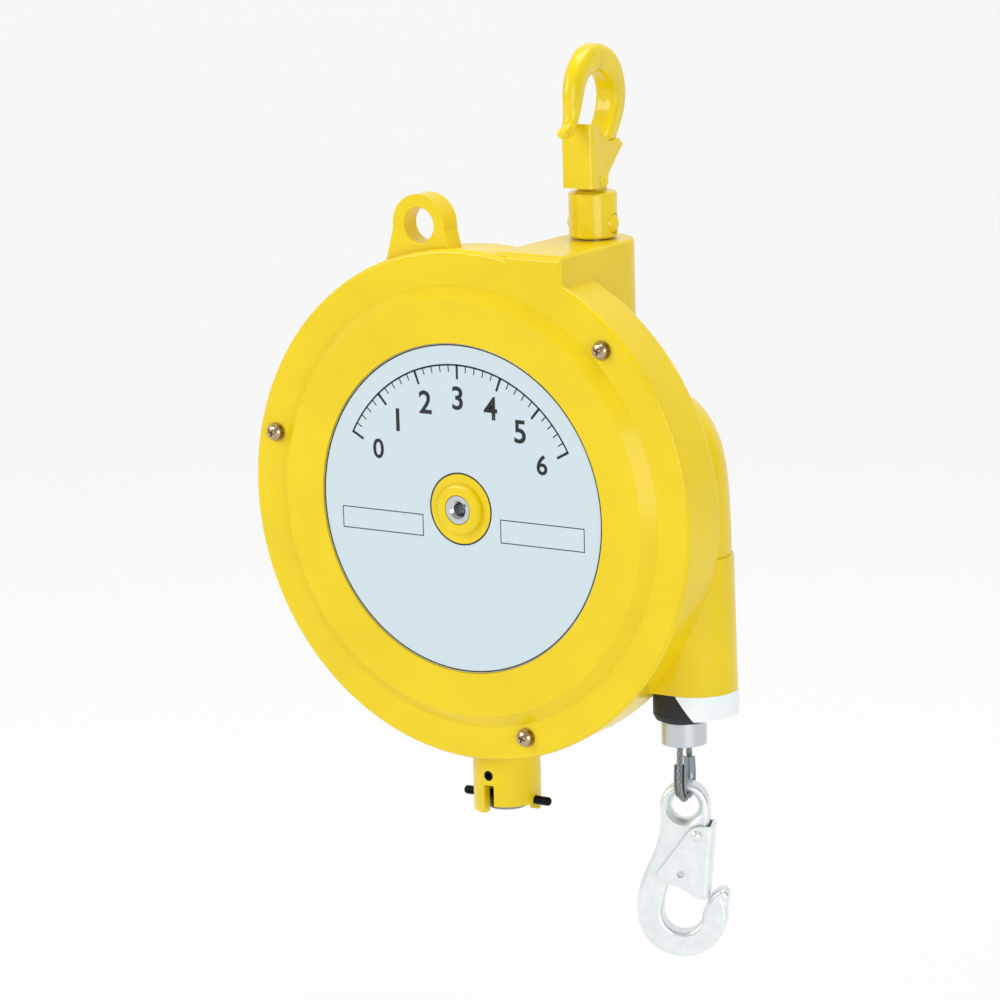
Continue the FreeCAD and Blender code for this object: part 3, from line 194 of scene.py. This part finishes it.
def blotch_colour(tree, surface, base, darker, space, spot_mm):
    """Vary the colour softly between two near values over spots of a real size."""
    noise = add_node(tree, "ShaderNodeTexNoise", {"Scale": 1 / spot_mm, "Detail": 3.0},
                     {"Vector": (space, 0)})
    ramp = add_node(tree, "ShaderNodeMapRange", {"From Min": 0.35, "From Max": 0.65},
                    {"Value": (noise, "Fac")})
    mix = add_node(tree, "ShaderNodeMix", {"data_type": "RGBA", 6: (*darker, 1), 7: (*base, 1)},
                   {0: (ramp, "Result")})
    tree.links.new(mix.outputs[2], surface.inputs["Base Color"])


def shaded(base, factor):
    return tuple(c * factor for c in base)


def powder_coated_die_casting(base):
    """Polyester powder on cast aluminium: glossy, with a faint orange peel about 1.5 mm across."""
    material, tree, surface = new_material("powder_coated_die_casting", base,
                                           {"Roughness": 0.34, "Coat Weight": 0.3, "Coat Roughness": 0.1,
                                            "Specular IOR Level": 0.3})
    space = object_space(tree)
    blotch_colour(tree, surface, base, shaded(base, 0.94), space, 38)
    peel = add_node(tree, "ShaderNodeTexNoise", {"Scale": 1 / 1.7, "Detail": 1.5, "Roughness": 0.4},
                    {"Vector": (space, 0)})
    bump_from(tree, surface, peel, "Fac", 0.25, 0.06)
    return material


def wet_painted_forging(base):
    """Enamel brushed over a forged hook: thick and shiny, with the forging's low waves under it."""
    material, tree, surface = new_material("wet_painted_forging", base,
                                           {"Roughness": 0.28, "Coat Weight": 0.45, "Coat Roughness": 0.08,
                                            "Specular IOR Level": 0.3})
    space = object_space(tree)
    blotch_colour(tree, surface, base, shaded(base, 0.92), space, 14)
    waves = add_node(tree, "ShaderNodeTexNoise", {"Scale": 1 / 6.0, "Detail": 2.0, "Roughness": 0.5},
                     {"Vector": (space, 0)})
    bump_from(tree, surface, waves, "Fac", 0.35, 0.35)
    return material


def anodised_sheet(base):
    """Satin anodised aluminium sheet: its rolled grain runs level and barely shows."""
    material, tree, surface = new_material("satin_anodised_sheet", base,
                                           {"Roughness": 0.38, "Metallic": 0.15, "Coat Weight": 0.25,
                                            "Coat Roughness": 0.3})
    space = object_space(tree, (0.04, 1, 1))
    grain = add_node(tree, "ShaderNodeTexNoise", {"Scale": 1 / 0.5, "Detail": 2.0}, {"Vector": (space, 0)})
    rough = add_node(tree, "ShaderNodeMapRange", {"To Min": 0.33, "To Max": 0.44}, {"Value": (grain, "Fac")})
    tree.links.new(rough.outputs["Result"], surface.inputs["Roughness"])
    bump_from(tree, surface, grain, "Fac", 0.06, 0.02)
    return material


def screen_print_ink(base):
    """Solvent ink: flat black with a slight sheen."""
    material, tree, surface = new_material("screen_print_ink", base, {"Roughness": 0.42})
    space = object_space(tree)
    grain = add_node(tree, "ShaderNodeTexNoise", {"Scale": 1 / 0.6}, {"Vector": (space, 0)})
    bump_from(tree, surface, grain, "Fac", 0.1, 0.01)
    return material


def turned_metal(name, hex_code, roughness, ring_mm=0.35):
    """Lathe-turned or rolled metal: fine rings round the turning axis break up the reflection."""
    base = linear(hex_code)
    material, tree, surface = new_material(name, base, {"Metallic": 1.0, "Roughness": roughness})
    space = object_space(tree, (0.1, 0.1, 1))
    lines = add_node(tree, "ShaderNodeTexNoise", {"Scale": 1 / ring_mm, "Detail": 2.0},
                     {"Vector": (space, 0)})
    rough = add_node(tree, "ShaderNodeMapRange", {"To Min": roughness * 0.8, "To Max": roughness * 1.25},
                     {"Value": (lines, "Fac")})
    tree.links.new(rough.outputs["Result"], surface.inputs["Roughness"])
    bump_from(tree, surface, lines, "Fac", 0.15, 0.02)
    return material


def zinc_plated_forging(base):
    """Bright zinc over a shot-blasted forging: silver with a blue cast, soft pits about 0.8 mm across."""
    material, tree, surface = new_material("zinc_plated_forging", base, {"Metallic": 0.85, "Roughness": 0.34})
    space = object_space(tree)
    blotch_colour(tree, surface, base, shaded(base, 0.92), space, 5)
    pits = add_node(tree, "ShaderNodeTexNoise", {"Scale": 1 / 0.9, "Detail": 3.0, "Roughness": 0.6},
                    {"Vector": (space, 0)})
    rough = add_node(tree, "ShaderNodeMapRange", {"To Min": 0.24, "To Max": 0.46}, {"Value": (pits, "Fac")})
    tree.links.new(rough.outputs["Result"], surface.inputs["Roughness"])
    bump_from(tree, surface, pits, "Fac", 0.25, 0.08)
    return material


def moulded_nylon(base):
    """Natural nylon: milky, waxy and a little see-through at the edges."""
    material, tree, surface = new_material("moulded_natural_nylon", base,
                                           {"Roughness": 0.36, "Subsurface Weight": 0.25,
                                            "Subsurface Scale": 0.004})
    space = object_space(tree)
    noise = add_node(tree, "ShaderNodeTexNoise", {"Scale": 1 / 2.5, "Detail": 2.0}, {"Vector": (space, 0)})
    bump_from(tree, surface, noise, "Fac", 0.12, 0.06)
    return material


def moulded_rubber(base):
    """Nitrile rubber from a blasted mould: dull black with a fine grain."""
    material, tree, surface = new_material("moulded_nitrile_rubber", base, {"Roughness": 0.55})
    space = object_space(tree)
    noise = add_node(tree, "ShaderNodeTexNoise", {"Scale": 1 / 0.7, "Detail": 3.0}, {"Vector": (space, 0)})
    bump_from(tree, surface, noise, "Fac", 0.3, 0.05)
    return material


def drawn_wire():
    """Galvanised wires laid into strands: fine slanted lines, drawn a little coarse so that they show; the
    dark bands are painted shade in the grooves between the wires.
    """
    material, tree, surface = new_material("galvanised_wire_strand", linear("A9ABAB"),
                                           {"Metallic": 1.0, "Roughness": 0.36})
    where = add_node(tree, "ShaderNodeTexCoord")
    wires = add_node(tree, "ShaderNodeTexWave",
                     {"bands_direction": "DIAGONAL", "Scale": 1.6, "Distortion": 0.0},
                     {"Vector": (where, "UV")})
    # painted shade: the dark colour marks the grooves between the wires, and the light colour is the wire
    # itself
    shade = add_node(tree, "ShaderNodeMix", {"data_type": "RGBA", 6: (*linear("5D5F60"), 1),
                                             7: (*linear("C4C6C6"), 1)}, {0: (wires, "Fac")})
    tree.links.new(shade.outputs[2], surface.inputs["Base Color"])
    bump_from(tree, surface, wires, "Fac", 0.5, 0.12)
    return material


# ---- mesh helpers -------------------------------------------------------------------------------
def mesh_object(name, vertices, faces, smooth=True):
    mesh = bpy.data.meshes.new(name)
    mesh.from_pydata(vertices, [], faces)
    mesh.update()
    if smooth:
        mesh.shade_smooth()
    piece = bpy.data.objects.new(name, mesh)
    bpy.context.scene.collection.objects.link(piece)
    return piece


def on_plate(radius, degrees, film):
    """A point on the plate's face; degrees count from the right, anticlockwise."""
    a = math.radians(degrees)
    return (PLATE_CENTRE.x + radius * math.cos(a), PLATE_LOW.y - film, PLATE_CENTRE.z + radius * math.sin(a))


def printed_arc(name, inner, outer, start, end, film):
    """A flat band of ink between two radii."""
    steps = max(2, int(abs(end - start) / 2.5))
    vertices, faces = [], []
    for i in range(steps + 1):
        a = start + (end - start) * i / steps
        vertices += [on_plate(inner, a, film), on_plate(outer, a, film)]
    for i in range(steps):
        j = 2 * i
        faces.append((j, j + 1, j + 3, j + 2))
    return mesh_object(name, vertices, faces, smooth=False)


def printed_bar(vertices, faces, x0, x1, z0, z1, film):
    """Add an upright rectangle of ink, measured from the plate's centre."""
    start = len(vertices)
    for x, z in ((x0, z0), (x1, z0), (x1, z1), (x0, z1)):
        vertices.append((PLATE_CENTRE.x + x, PLATE_LOW.y - film, PLATE_CENTRE.z + z))
    faces.append(tuple(range(start, start + 4)))


def joined_pieces(name, pieces):
    """Join mesh objects into one piece."""
    build = bmesh.new()
    for piece in pieces:
        build.from_mesh(piece.data)
        bpy.data.objects.remove(piece)
    mesh = bpy.data.meshes.new(name)
    build.to_mesh(mesh)
    build.free()
    result = bpy.data.objects.new(name, mesh)
    bpy.context.scene.collection.objects.link(result)
    return result


def flat_text(body, height, place):
    """Figures as a flat mesh facing the front."""
    curve = bpy.data.curves.new("figure", "FONT")
    curve.body = body
    curve.size = height / 0.72
    curve.offset = height * 0.025
    curve.align_x = "CENTER"
    curve.align_y = "CENTER"
    holder = bpy.data.objects.new("figure", curve)
    bpy.context.scene.collection.objects.link(holder)
    bpy.context.view_layer.update()
    mesh = bpy.data.meshes.new_from_object(holder.evaluated_get(bpy.context.evaluated_depsgraph_get()))
    mesh.transform(Matrix.Translation(place) @ Matrix.Rotation(math.pi / 2, 4, "X"))
    bpy.data.objects.remove(holder)
    piece = bpy.data.objects.new("figure", mesh)
    bpy.context.scene.collection.objects.link(piece)
    return piece


def framed_path(points):
    """Each point with its direction and two normals that turn as little as possible."""
    path = []
    normal = None
    for i, point in enumerate(points):
        ahead = points[min(i + 1, len(points) - 1)] - points[max(i - 1, 0)]
        along = ahead.normalized()
        if normal is None:
            normal = along.orthogonal().normalized()
        else:
            normal = (normal - along * normal.dot(along)).normalized()
        path.append((point, normal, along.cross(normal)))
    return path


def laid_rope(name, points, radius, rope):
    """Wire rope: outer strands wound round a core strand along a path."""
    path = framed_path(points)
    travel = [0.0]
    for a, b in zip(points, points[1:]):
        travel.append(travel[-1] + (b - a).length)
    strand_r = radius * STRAND_SHARE
    vertices, faces, uvs = [], [], []
    for strand in range(rope.strands + 1):
        offset = 0.0 if strand == rope.strands else radius - strand_r
        first = len(vertices)
        for (point, n, m), run in zip(path, travel):
            a = 2 * math.pi * (strand / rope.strands + run / rope.lay)
            centre = point + (n * math.cos(a) + m * math.sin(a)) * offset
            for k in range(rope.sides):
                b = 2 * math.pi * k / rope.sides
                vertices.append(centre + (n * math.cos(b) + m * math.sin(b)) * strand_r)
                uvs.append((4 * k / rope.sides, run / MM))
        for i in range(len(path) - 1):
            for k in range(rope.sides):
                j = first + i * rope.sides
                turn = (k + 1) % rope.sides
                faces.append((j + k, j + turn, j + rope.sides + turn, j + rope.sides + k))
        for end in (first, first + (len(path) - 1) * rope.sides):
            faces.append(tuple(range(end, end + rope.sides)))
    piece = mesh_object(name, vertices, faces)
    layer = piece.data.uv_layers.new(name="lay")
    for loop in piece.data.loops:
        layer.data[loop.index].uv = uvs[loop.vertex_index]
    return piece


def dress(nodes, material):
    for node in nodes:
        data = NODES[node].data
        if not data.materials:
            data.materials.append(material)
        for i in range(len(data.materials)):
            data.materials[i] = material


# ---- operators ----------------------------------------------------------------------------------
class BALANCER_OT_case(bpy.types.Operator):
    """Powder coat the case, its cover and the gear cover"""
    bl_idname = "balancer.case"
    bl_label = "Case Finish"

    def execute(self, context):
        colours = context.scene.balancer_colours
        coat = powder_coated_die_casting(tuple(colours.case_yellow))
        dress(["main_case", "front_cover", "worm_cover"], coat)
        return {"FINISHED"}


class BALANCER_OT_plate(bpy.types.Operator):
    """Anodise the dial plate and print its rings, scale, figures and blank frames"""
    bl_idname = "balancer.plate"
    bl_label = "Dial Plate"

    def execute(self, context):
        colours = context.scene.balancer_colours
        plate = context.scene.balancer_plate
        dress(["nameplate"], anodised_sheet(tuple(colours.plate_silver)))
        film = plate.film
        rim = PLATE_RADIUS - 0.2 * MM
        bands = [printed_arc("band", rim - plate.border, rim, 0, 360, film),
                 printed_arc("band", PLATE_HOLE, PLATE_HOLE + plate.border, 0, 360, film)]
        start, end = 152.0, 28.0
        ticks = plate.steps * 5
        bands.append(printed_arc("band", plate.dial_radius - 0.0009, plate.dial_radius, start, end, film))
        for i in range(ticks + 1):
            a = start + (end - start) * i / ticks
            long_tick = i % 5 == 0
            depth = 0.0075 if long_tick else 0.004
            half = 0.55 if long_tick else 0.25
            bands.append(printed_arc("tick", plate.dial_radius - depth, plate.dial_radius,
                                     a - half, a + half, film))
        for i in range(plate.steps + 1):
            a = start + (end - start) * i / plate.steps
            place = Vector(on_plate(plate.dial_radius - 0.0175, a, film))
            share = 0.72 if i in (0, plate.steps) else 0.85
            bands.append(flat_text(str(i), plate.number_height * share, place))
        vertices, faces = [], []
        line = 0.0005
        for x0, x1, z0, z1 in ((-0.0710, -0.0224, -0.0157, -0.0046), (0.0230, 0.0717, -0.0149, -0.0030)):
            printed_bar(vertices, faces, x0, x1, z0, z0 + line, film)
            printed_bar(vertices, faces, x0, x1, z1 - line, z1, film)
            printed_bar(vertices, faces, x0, x0 + line, z0 + line, z1 - line, film)
            printed_bar(vertices, faces, x1 - line, x1, z0 + line, z1 - line, film)
        bands.append(mesh_object("frames", vertices, faces, smooth=False))
        ink = joined_pieces("plate_print", bands)
        ink.data.materials.clear()
        ink.data.materials.append(screen_print_ink(tuple(colours.print_black)))
        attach(ink, "case")
        return {"FINISHED"}


class BALANCER_OT_hanger(bpy.types.Operator):
    """Paint the top hook and its latch, and finish the swivel's steel parts"""
    bl_idname = "balancer.hanger"
    bl_label = "Top Hook"

    def execute(self, context):
        paint = wet_painted_forging(tuple(context.scene.balancer_colours.hook_yellow))
        dress(["top_hook", "top_latch", "top_latch_rivet", "stem_pin"], paint)
        dress(["hook_stem", "thrust_washer", "stem_nut"], turned_metal("turned_carbon_steel", "A8A8A6", 0.32))
        return {"FINISHED"}


class BALANCER_OT_load_end(bpy.types.Operator):
    """Finish the guide, bumper, ferrule, load hook and latch"""
    bl_idname = "balancer.load_end"
    bl_label = "Load End"

    def execute(self, context):
        colours = context.scene.balancer_colours
        zinc = zinc_plated_forging(tuple(colours.zinc))
        dress(["lower_hook", "lower_latch", "lower_latch_rivet"], zinc)
        dress(["rope_guide"], moulded_nylon(tuple(colours.nylon_white)))
        dress(["rope_bumper"], moulded_rubber(tuple(colours.rubber_black)))
        dress(["rope_ferrule"], turned_metal("turned_aluminium_ferrule", "C9CFD4", 0.30))
        dress(["thimble"], turned_metal("galvanised_thimble", "8F9AA1", 0.36))
        return {"FINISHED"}


class BALANCER_OT_rope(bpy.types.Operator):
    """Lay the wire rope of the hanging run and the end loop, and give the drum's turns the wire finish"""
    bl_idname = "balancer.rope"
    bl_label = "Wire Rope"

    def execute(self, context):
        rope = context.scene.balancer_rope
        wire = drawn_wire()
        low, high = (Vector(corner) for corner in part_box("rope_run"))
        centre = (low + high) / 2
        count = 60
        straight = [Vector((centre.x, centre.y, high.z + (low.z - high.z) * i / count))
                    for i in range(count + 1)]
        run = laid_rope("hanging_rope", straight, ROPE_RADIUS, rope)
        run.data.materials.append(wire)
        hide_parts("rope_run")
        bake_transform(run)
        dress(["rope_wrap"], wire)
        loop = laid_rope("end_loop", loop_path(), LOOP_ROPE_RADIUS, rope)
        loop.data.materials.append(wire)
        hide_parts("rope_loop")
        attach(loop, "rope_end")
        return {"FINISHED"}


def loop_path():
    """Centre line of the loop: down one leg, round the bend and up the other."""
    low, high = (Vector(corner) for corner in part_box("rope_loop"))
    middle = (low + high) / 2
    across = Vector((-math.sin(LOOP_TURN), math.cos(LOOP_TURN), 0))
    centre = Vector((middle.x, middle.y, low.z + LOOP_ROPE_RADIUS + LOOP_BEND))
    lean = 0.0
    for _ in range(20):
        leg = (LOOP_BEND * math.cos(lean), centre.z + LOOP_BEND * math.sin(lean))
        lean = math.atan2(leg[0] - LOOP_NECK, high.z - leg[1])
    arc = [math.pi - lean + (math.pi + 2 * lean) * i / 40 for i in range(41)]
    points = [centre + across * (LOOP_BEND * math.cos(a)) + Vector((0, 0, LOOP_BEND * math.sin(a)))
              for a in arc]
    ends = [Vector((middle.x, middle.y, high.z)) + across * (side * LOOP_NECK) for side in (-1, 1)]
    down = [ends[0].lerp(points[0], i / 14) for i in range(14)]
    up = [points[-1].lerp(ends[1], i / 14) for i in range(1, 15)]
    return down + points + up


class BALANCER_OT_lock(bpy.types.Operator):
    """Finish the drum lock's bar, plunger, spring and screw"""
    bl_idname = "balancer.lock"
    bl_label = "Drum Lock"

    def execute(self, context):
        dress(["lock_handle", "lock_set_screw"], turned_metal("black_oxide_steel", "1C1D1F", 0.40))
        dress(["lock_plunger", "lock_sleeve"], turned_metal("ground_steel", "8F9092", 0.30))
        dress(["lock_spring"], turned_metal("drawn_spring_wire", "7A7C80", 0.30))
        return {"FINISHED"}


class BALANCER_OT_fasteners(bpy.types.Operator):
    """Finish the cover's screws and washers and the gear cover's screws"""
    bl_idname = "balancer.fasteners"
    bl_label = "Fasteners"

    def execute(self, context):
        dress(["cover_screws"], turned_metal("passivated_screw_steel", "B9A389", 0.26))
        dress(["cover_spring_washers"], turned_metal("bright_spring_washer", "A79A88", 0.30))
        dress(["cover_plain_washers"], turned_metal("yellow_zinc_washer", "BBA04A", 0.32))
        dress(["worm_cover_screws", "barrel_screws"], turned_metal("bright_zinc_screw", "B9BDBF", 0.30))
        return {"FINISHED"}


class BALANCER_OT_works(bpy.types.Operator):
    """Finish the shaft, gear, drum, barrel and power spring"""
    bl_idname = "balancer.works"
    bl_label = "Drum and Gear"

    def execute(self, context):
        dress(["main_shaft", "worm_shaft"], turned_metal("polished_shaft_steel", "C9CCCE", 0.22))
        dress(["shaft_circlips"], turned_metal("phosphated_circlip", "2A2B2D", 0.45))
        dress(["worm_wheel", "worm_bushes", "front_bush", "rear_bush", "drum_bushes"],
              turned_metal("sintered_bronze", "A9804A", 0.40))
        dress(["rope_drum"], turned_metal("turned_cast_aluminium", "BFC3C6", 0.36))
        dress(["spring_barrel", "barrel_cover"], turned_metal("zinc_plated_pressing", "B6BBBE", 0.34))
        dress(["power_spring"], turned_metal("blued_spring_strip", "3B424C", 0.28))
        return {"FINISHED"}


class BALANCER_OT_stage(bpy.types.Operator):
    """Set the floor, backdrop, soft lights and camera"""
    bl_idname = "balancer.stage"
    bl_label = "Stage"

    def execute(self, context):
        stage = context.scene.balancer_stage
        add_backdrop(stage)
        add_lights()
        add_camera(stage)
        return {"FINISHED"}


def add_backdrop(stage):
    """A pale floor that curves up into the backdrop behind the balancer."""
    low = cad_box[0]
    floor_z = low[2] - stage.floor_drop
    bearing = stage.azimuth
    away = Vector((-math.sin(bearing), math.cos(bearing), 0))
    side = Vector((math.cos(bearing), math.sin(bearing), 0))
    profile = [(-6.0, 0.0), (1.6, 0.0)]
    bend = 1.0
    for i in range(1, 17):
        a = math.pi / 2 * i / 16
        profile.append((1.6 + bend * math.sin(a), bend - bend * math.cos(a)))
    profile.append((1.6 + bend, 6.0))
    vertices, faces = [], []
    for depth, height in profile:
        for x in (-6.0, 6.0):
            point = away * depth + side * x
            vertices.append((point.x, point.y, floor_z + height))
    for i in range(len(profile) - 1):
        faces.append((2 * i, 2 * i + 1, 2 * i + 3, 2 * i + 2))
    floor = mesh_object("floor", vertices, faces)
    material, tree, surface = new_material("pale_studio_paper", linear("F4F4F2"), {"Roughness": 0.9})
    glow = add_node(tree, "ShaderNodeEmission", {"Color": (1, 1, 1, 1), "Strength": 1.0})
    path = add_node(tree, "ShaderNodeLightPath")
    seen = add_node(tree, "ShaderNodeMath", {"operation": "MAXIMUM"},
                    {0: (path, "Is Camera Ray"), 1: (path, "Is Glossy Ray")})
    amount = add_node(tree, "ShaderNodeMath", {"operation": "MULTIPLY", 1: 0.72}, {0: (seen, "Value")})
    mix = add_node(tree, "ShaderNodeMixShader", {}, {0: (amount, "Value"), 1: (surface, "BSDF"),
                                                     2: (glow, "Emission")})
    output = next(n for n in tree.nodes if n.type == "OUTPUT_MATERIAL")
    tree.links.new(mix.outputs["Shader"], output.inputs["Surface"])
    floor.data.materials.append(material)


def add_lights():
    world = bpy.data.worlds.new("soft_white_room")
    bpy.context.scene.world = world
    world.use_nodes = True
    sky = next(n for n in world.node_tree.nodes if n.type == "BACKGROUND")
    sky.inputs["Color"].default_value = (1, 1, 1, 1)
    sky.inputs["Strength"].default_value = 0.42
    lamps = (("key_softbox", (-1.5, -1.9, 1.3), 1.5, 32.0), ("fill_softbox", (2.1, -1.4, 0.2), 1.6, 25.0),
             ("top_softbox", (0.2, 0.3, 1.9), 1.4, 23.0))
    aim = centre_of("nameplate")
    for name, place, size, power in lamps:
        light = bpy.data.lights.new(name, "AREA")
        light.shape = "SQUARE"
        light.size = size
        light.energy = power
        lamp = bpy.data.objects.new(name, light)
        lamp.location = Vector(place) + aim
        lamp.rotation_euler = (aim - lamp.location).to_track_quat("-Z", "Y").to_euler()
        bpy.context.scene.collection.objects.link(lamp)


def add_camera(stage):
    """The camera looks at the hub from the front right, a little above it."""
    phi, rise, roll = stage.azimuth, stage.elevation, stage.roll
    back = Vector((math.sin(phi) * math.cos(rise), -math.cos(phi) * math.cos(rise), math.sin(rise)))
    right = Vector((math.cos(phi), math.sin(phi), 0))
    up = right.cross(back) * -1
    if up.z < 0:
        up = -up
    right_rolled = right * math.cos(roll) + up * math.sin(roll)
    up_rolled = up * math.cos(roll) - right * math.sin(roll)
    hub = Vector((PLATE_CENTRE.x, PLATE_LOW.y, PLATE_CENTRE.z))
    lens = bpy.data.cameras.new("front_camera")
    lens.lens = stage.lens
    lens.sensor_width = 36
    lens.clip_start = 0.05
    camera = bpy.data.objects.new("front_camera", lens)
    place = hub + back * stage.distance + right_rolled * CAMERA_SHIFT[0] + up_rolled * CAMERA_SHIFT[1]
    axes = Matrix((right_rolled, up_rolled, back)).transposed().to_4x4()
    camera.matrix_world = Matrix.Translation(place) @ axes
    bpy.context.scene.collection.objects.link(camera)
    bpy.context.scene.camera = camera


class BALANCER_PT_panel(bpy.types.Panel):
    """Lists the balancer's steps"""
    bl_label = "Balancer"
    bl_idname = "BALANCER_PT_panel"
    bl_space_type = "VIEW_3D"
    bl_region_type = "UI"
    bl_category = "Balancer"

    def draw(self, context):
        for step in STEPS:
            self.layout.operator(step.bl_idname)


STEPS = (BALANCER_OT_case, BALANCER_OT_plate, BALANCER_OT_hanger, BALANCER_OT_load_end, BALANCER_OT_rope,
         BALANCER_OT_lock, BALANCER_OT_fasteners, BALANCER_OT_works, BALANCER_OT_stage)
GROUPS = {"balancer_colours": BalancerColours, "balancer_plate": PlatePrint, "balancer_rope": RopeLay,
          "balancer_stage": StageSetup}


def register():
    for group in GROUPS.values():
        bpy.utils.register_class(group)
    for step in STEPS + (BALANCER_PT_panel,):
        bpy.utils.register_class(step)
    for name, group in GROUPS.items():
        setattr(bpy.types.Scene, name, PointerProperty(type=group))


def unregister():
    for name in GROUPS:
        delattr(bpy.types.Scene, name)
    for step in (BALANCER_PT_panel,) + STEPS:
        bpy.utils.unregister_class(step)
    for group in GROUPS.values():
        bpy.utils.unregister_class(group)


def main():
    register()
    bpy.context.scene.view_settings.view_transform = "Standard"
    for step in STEPS:
        family, name = step.bl_idname.split(".")
        getattr(getattr(bpy.ops, family), name)()


if __name__ == "__main__":
    main()
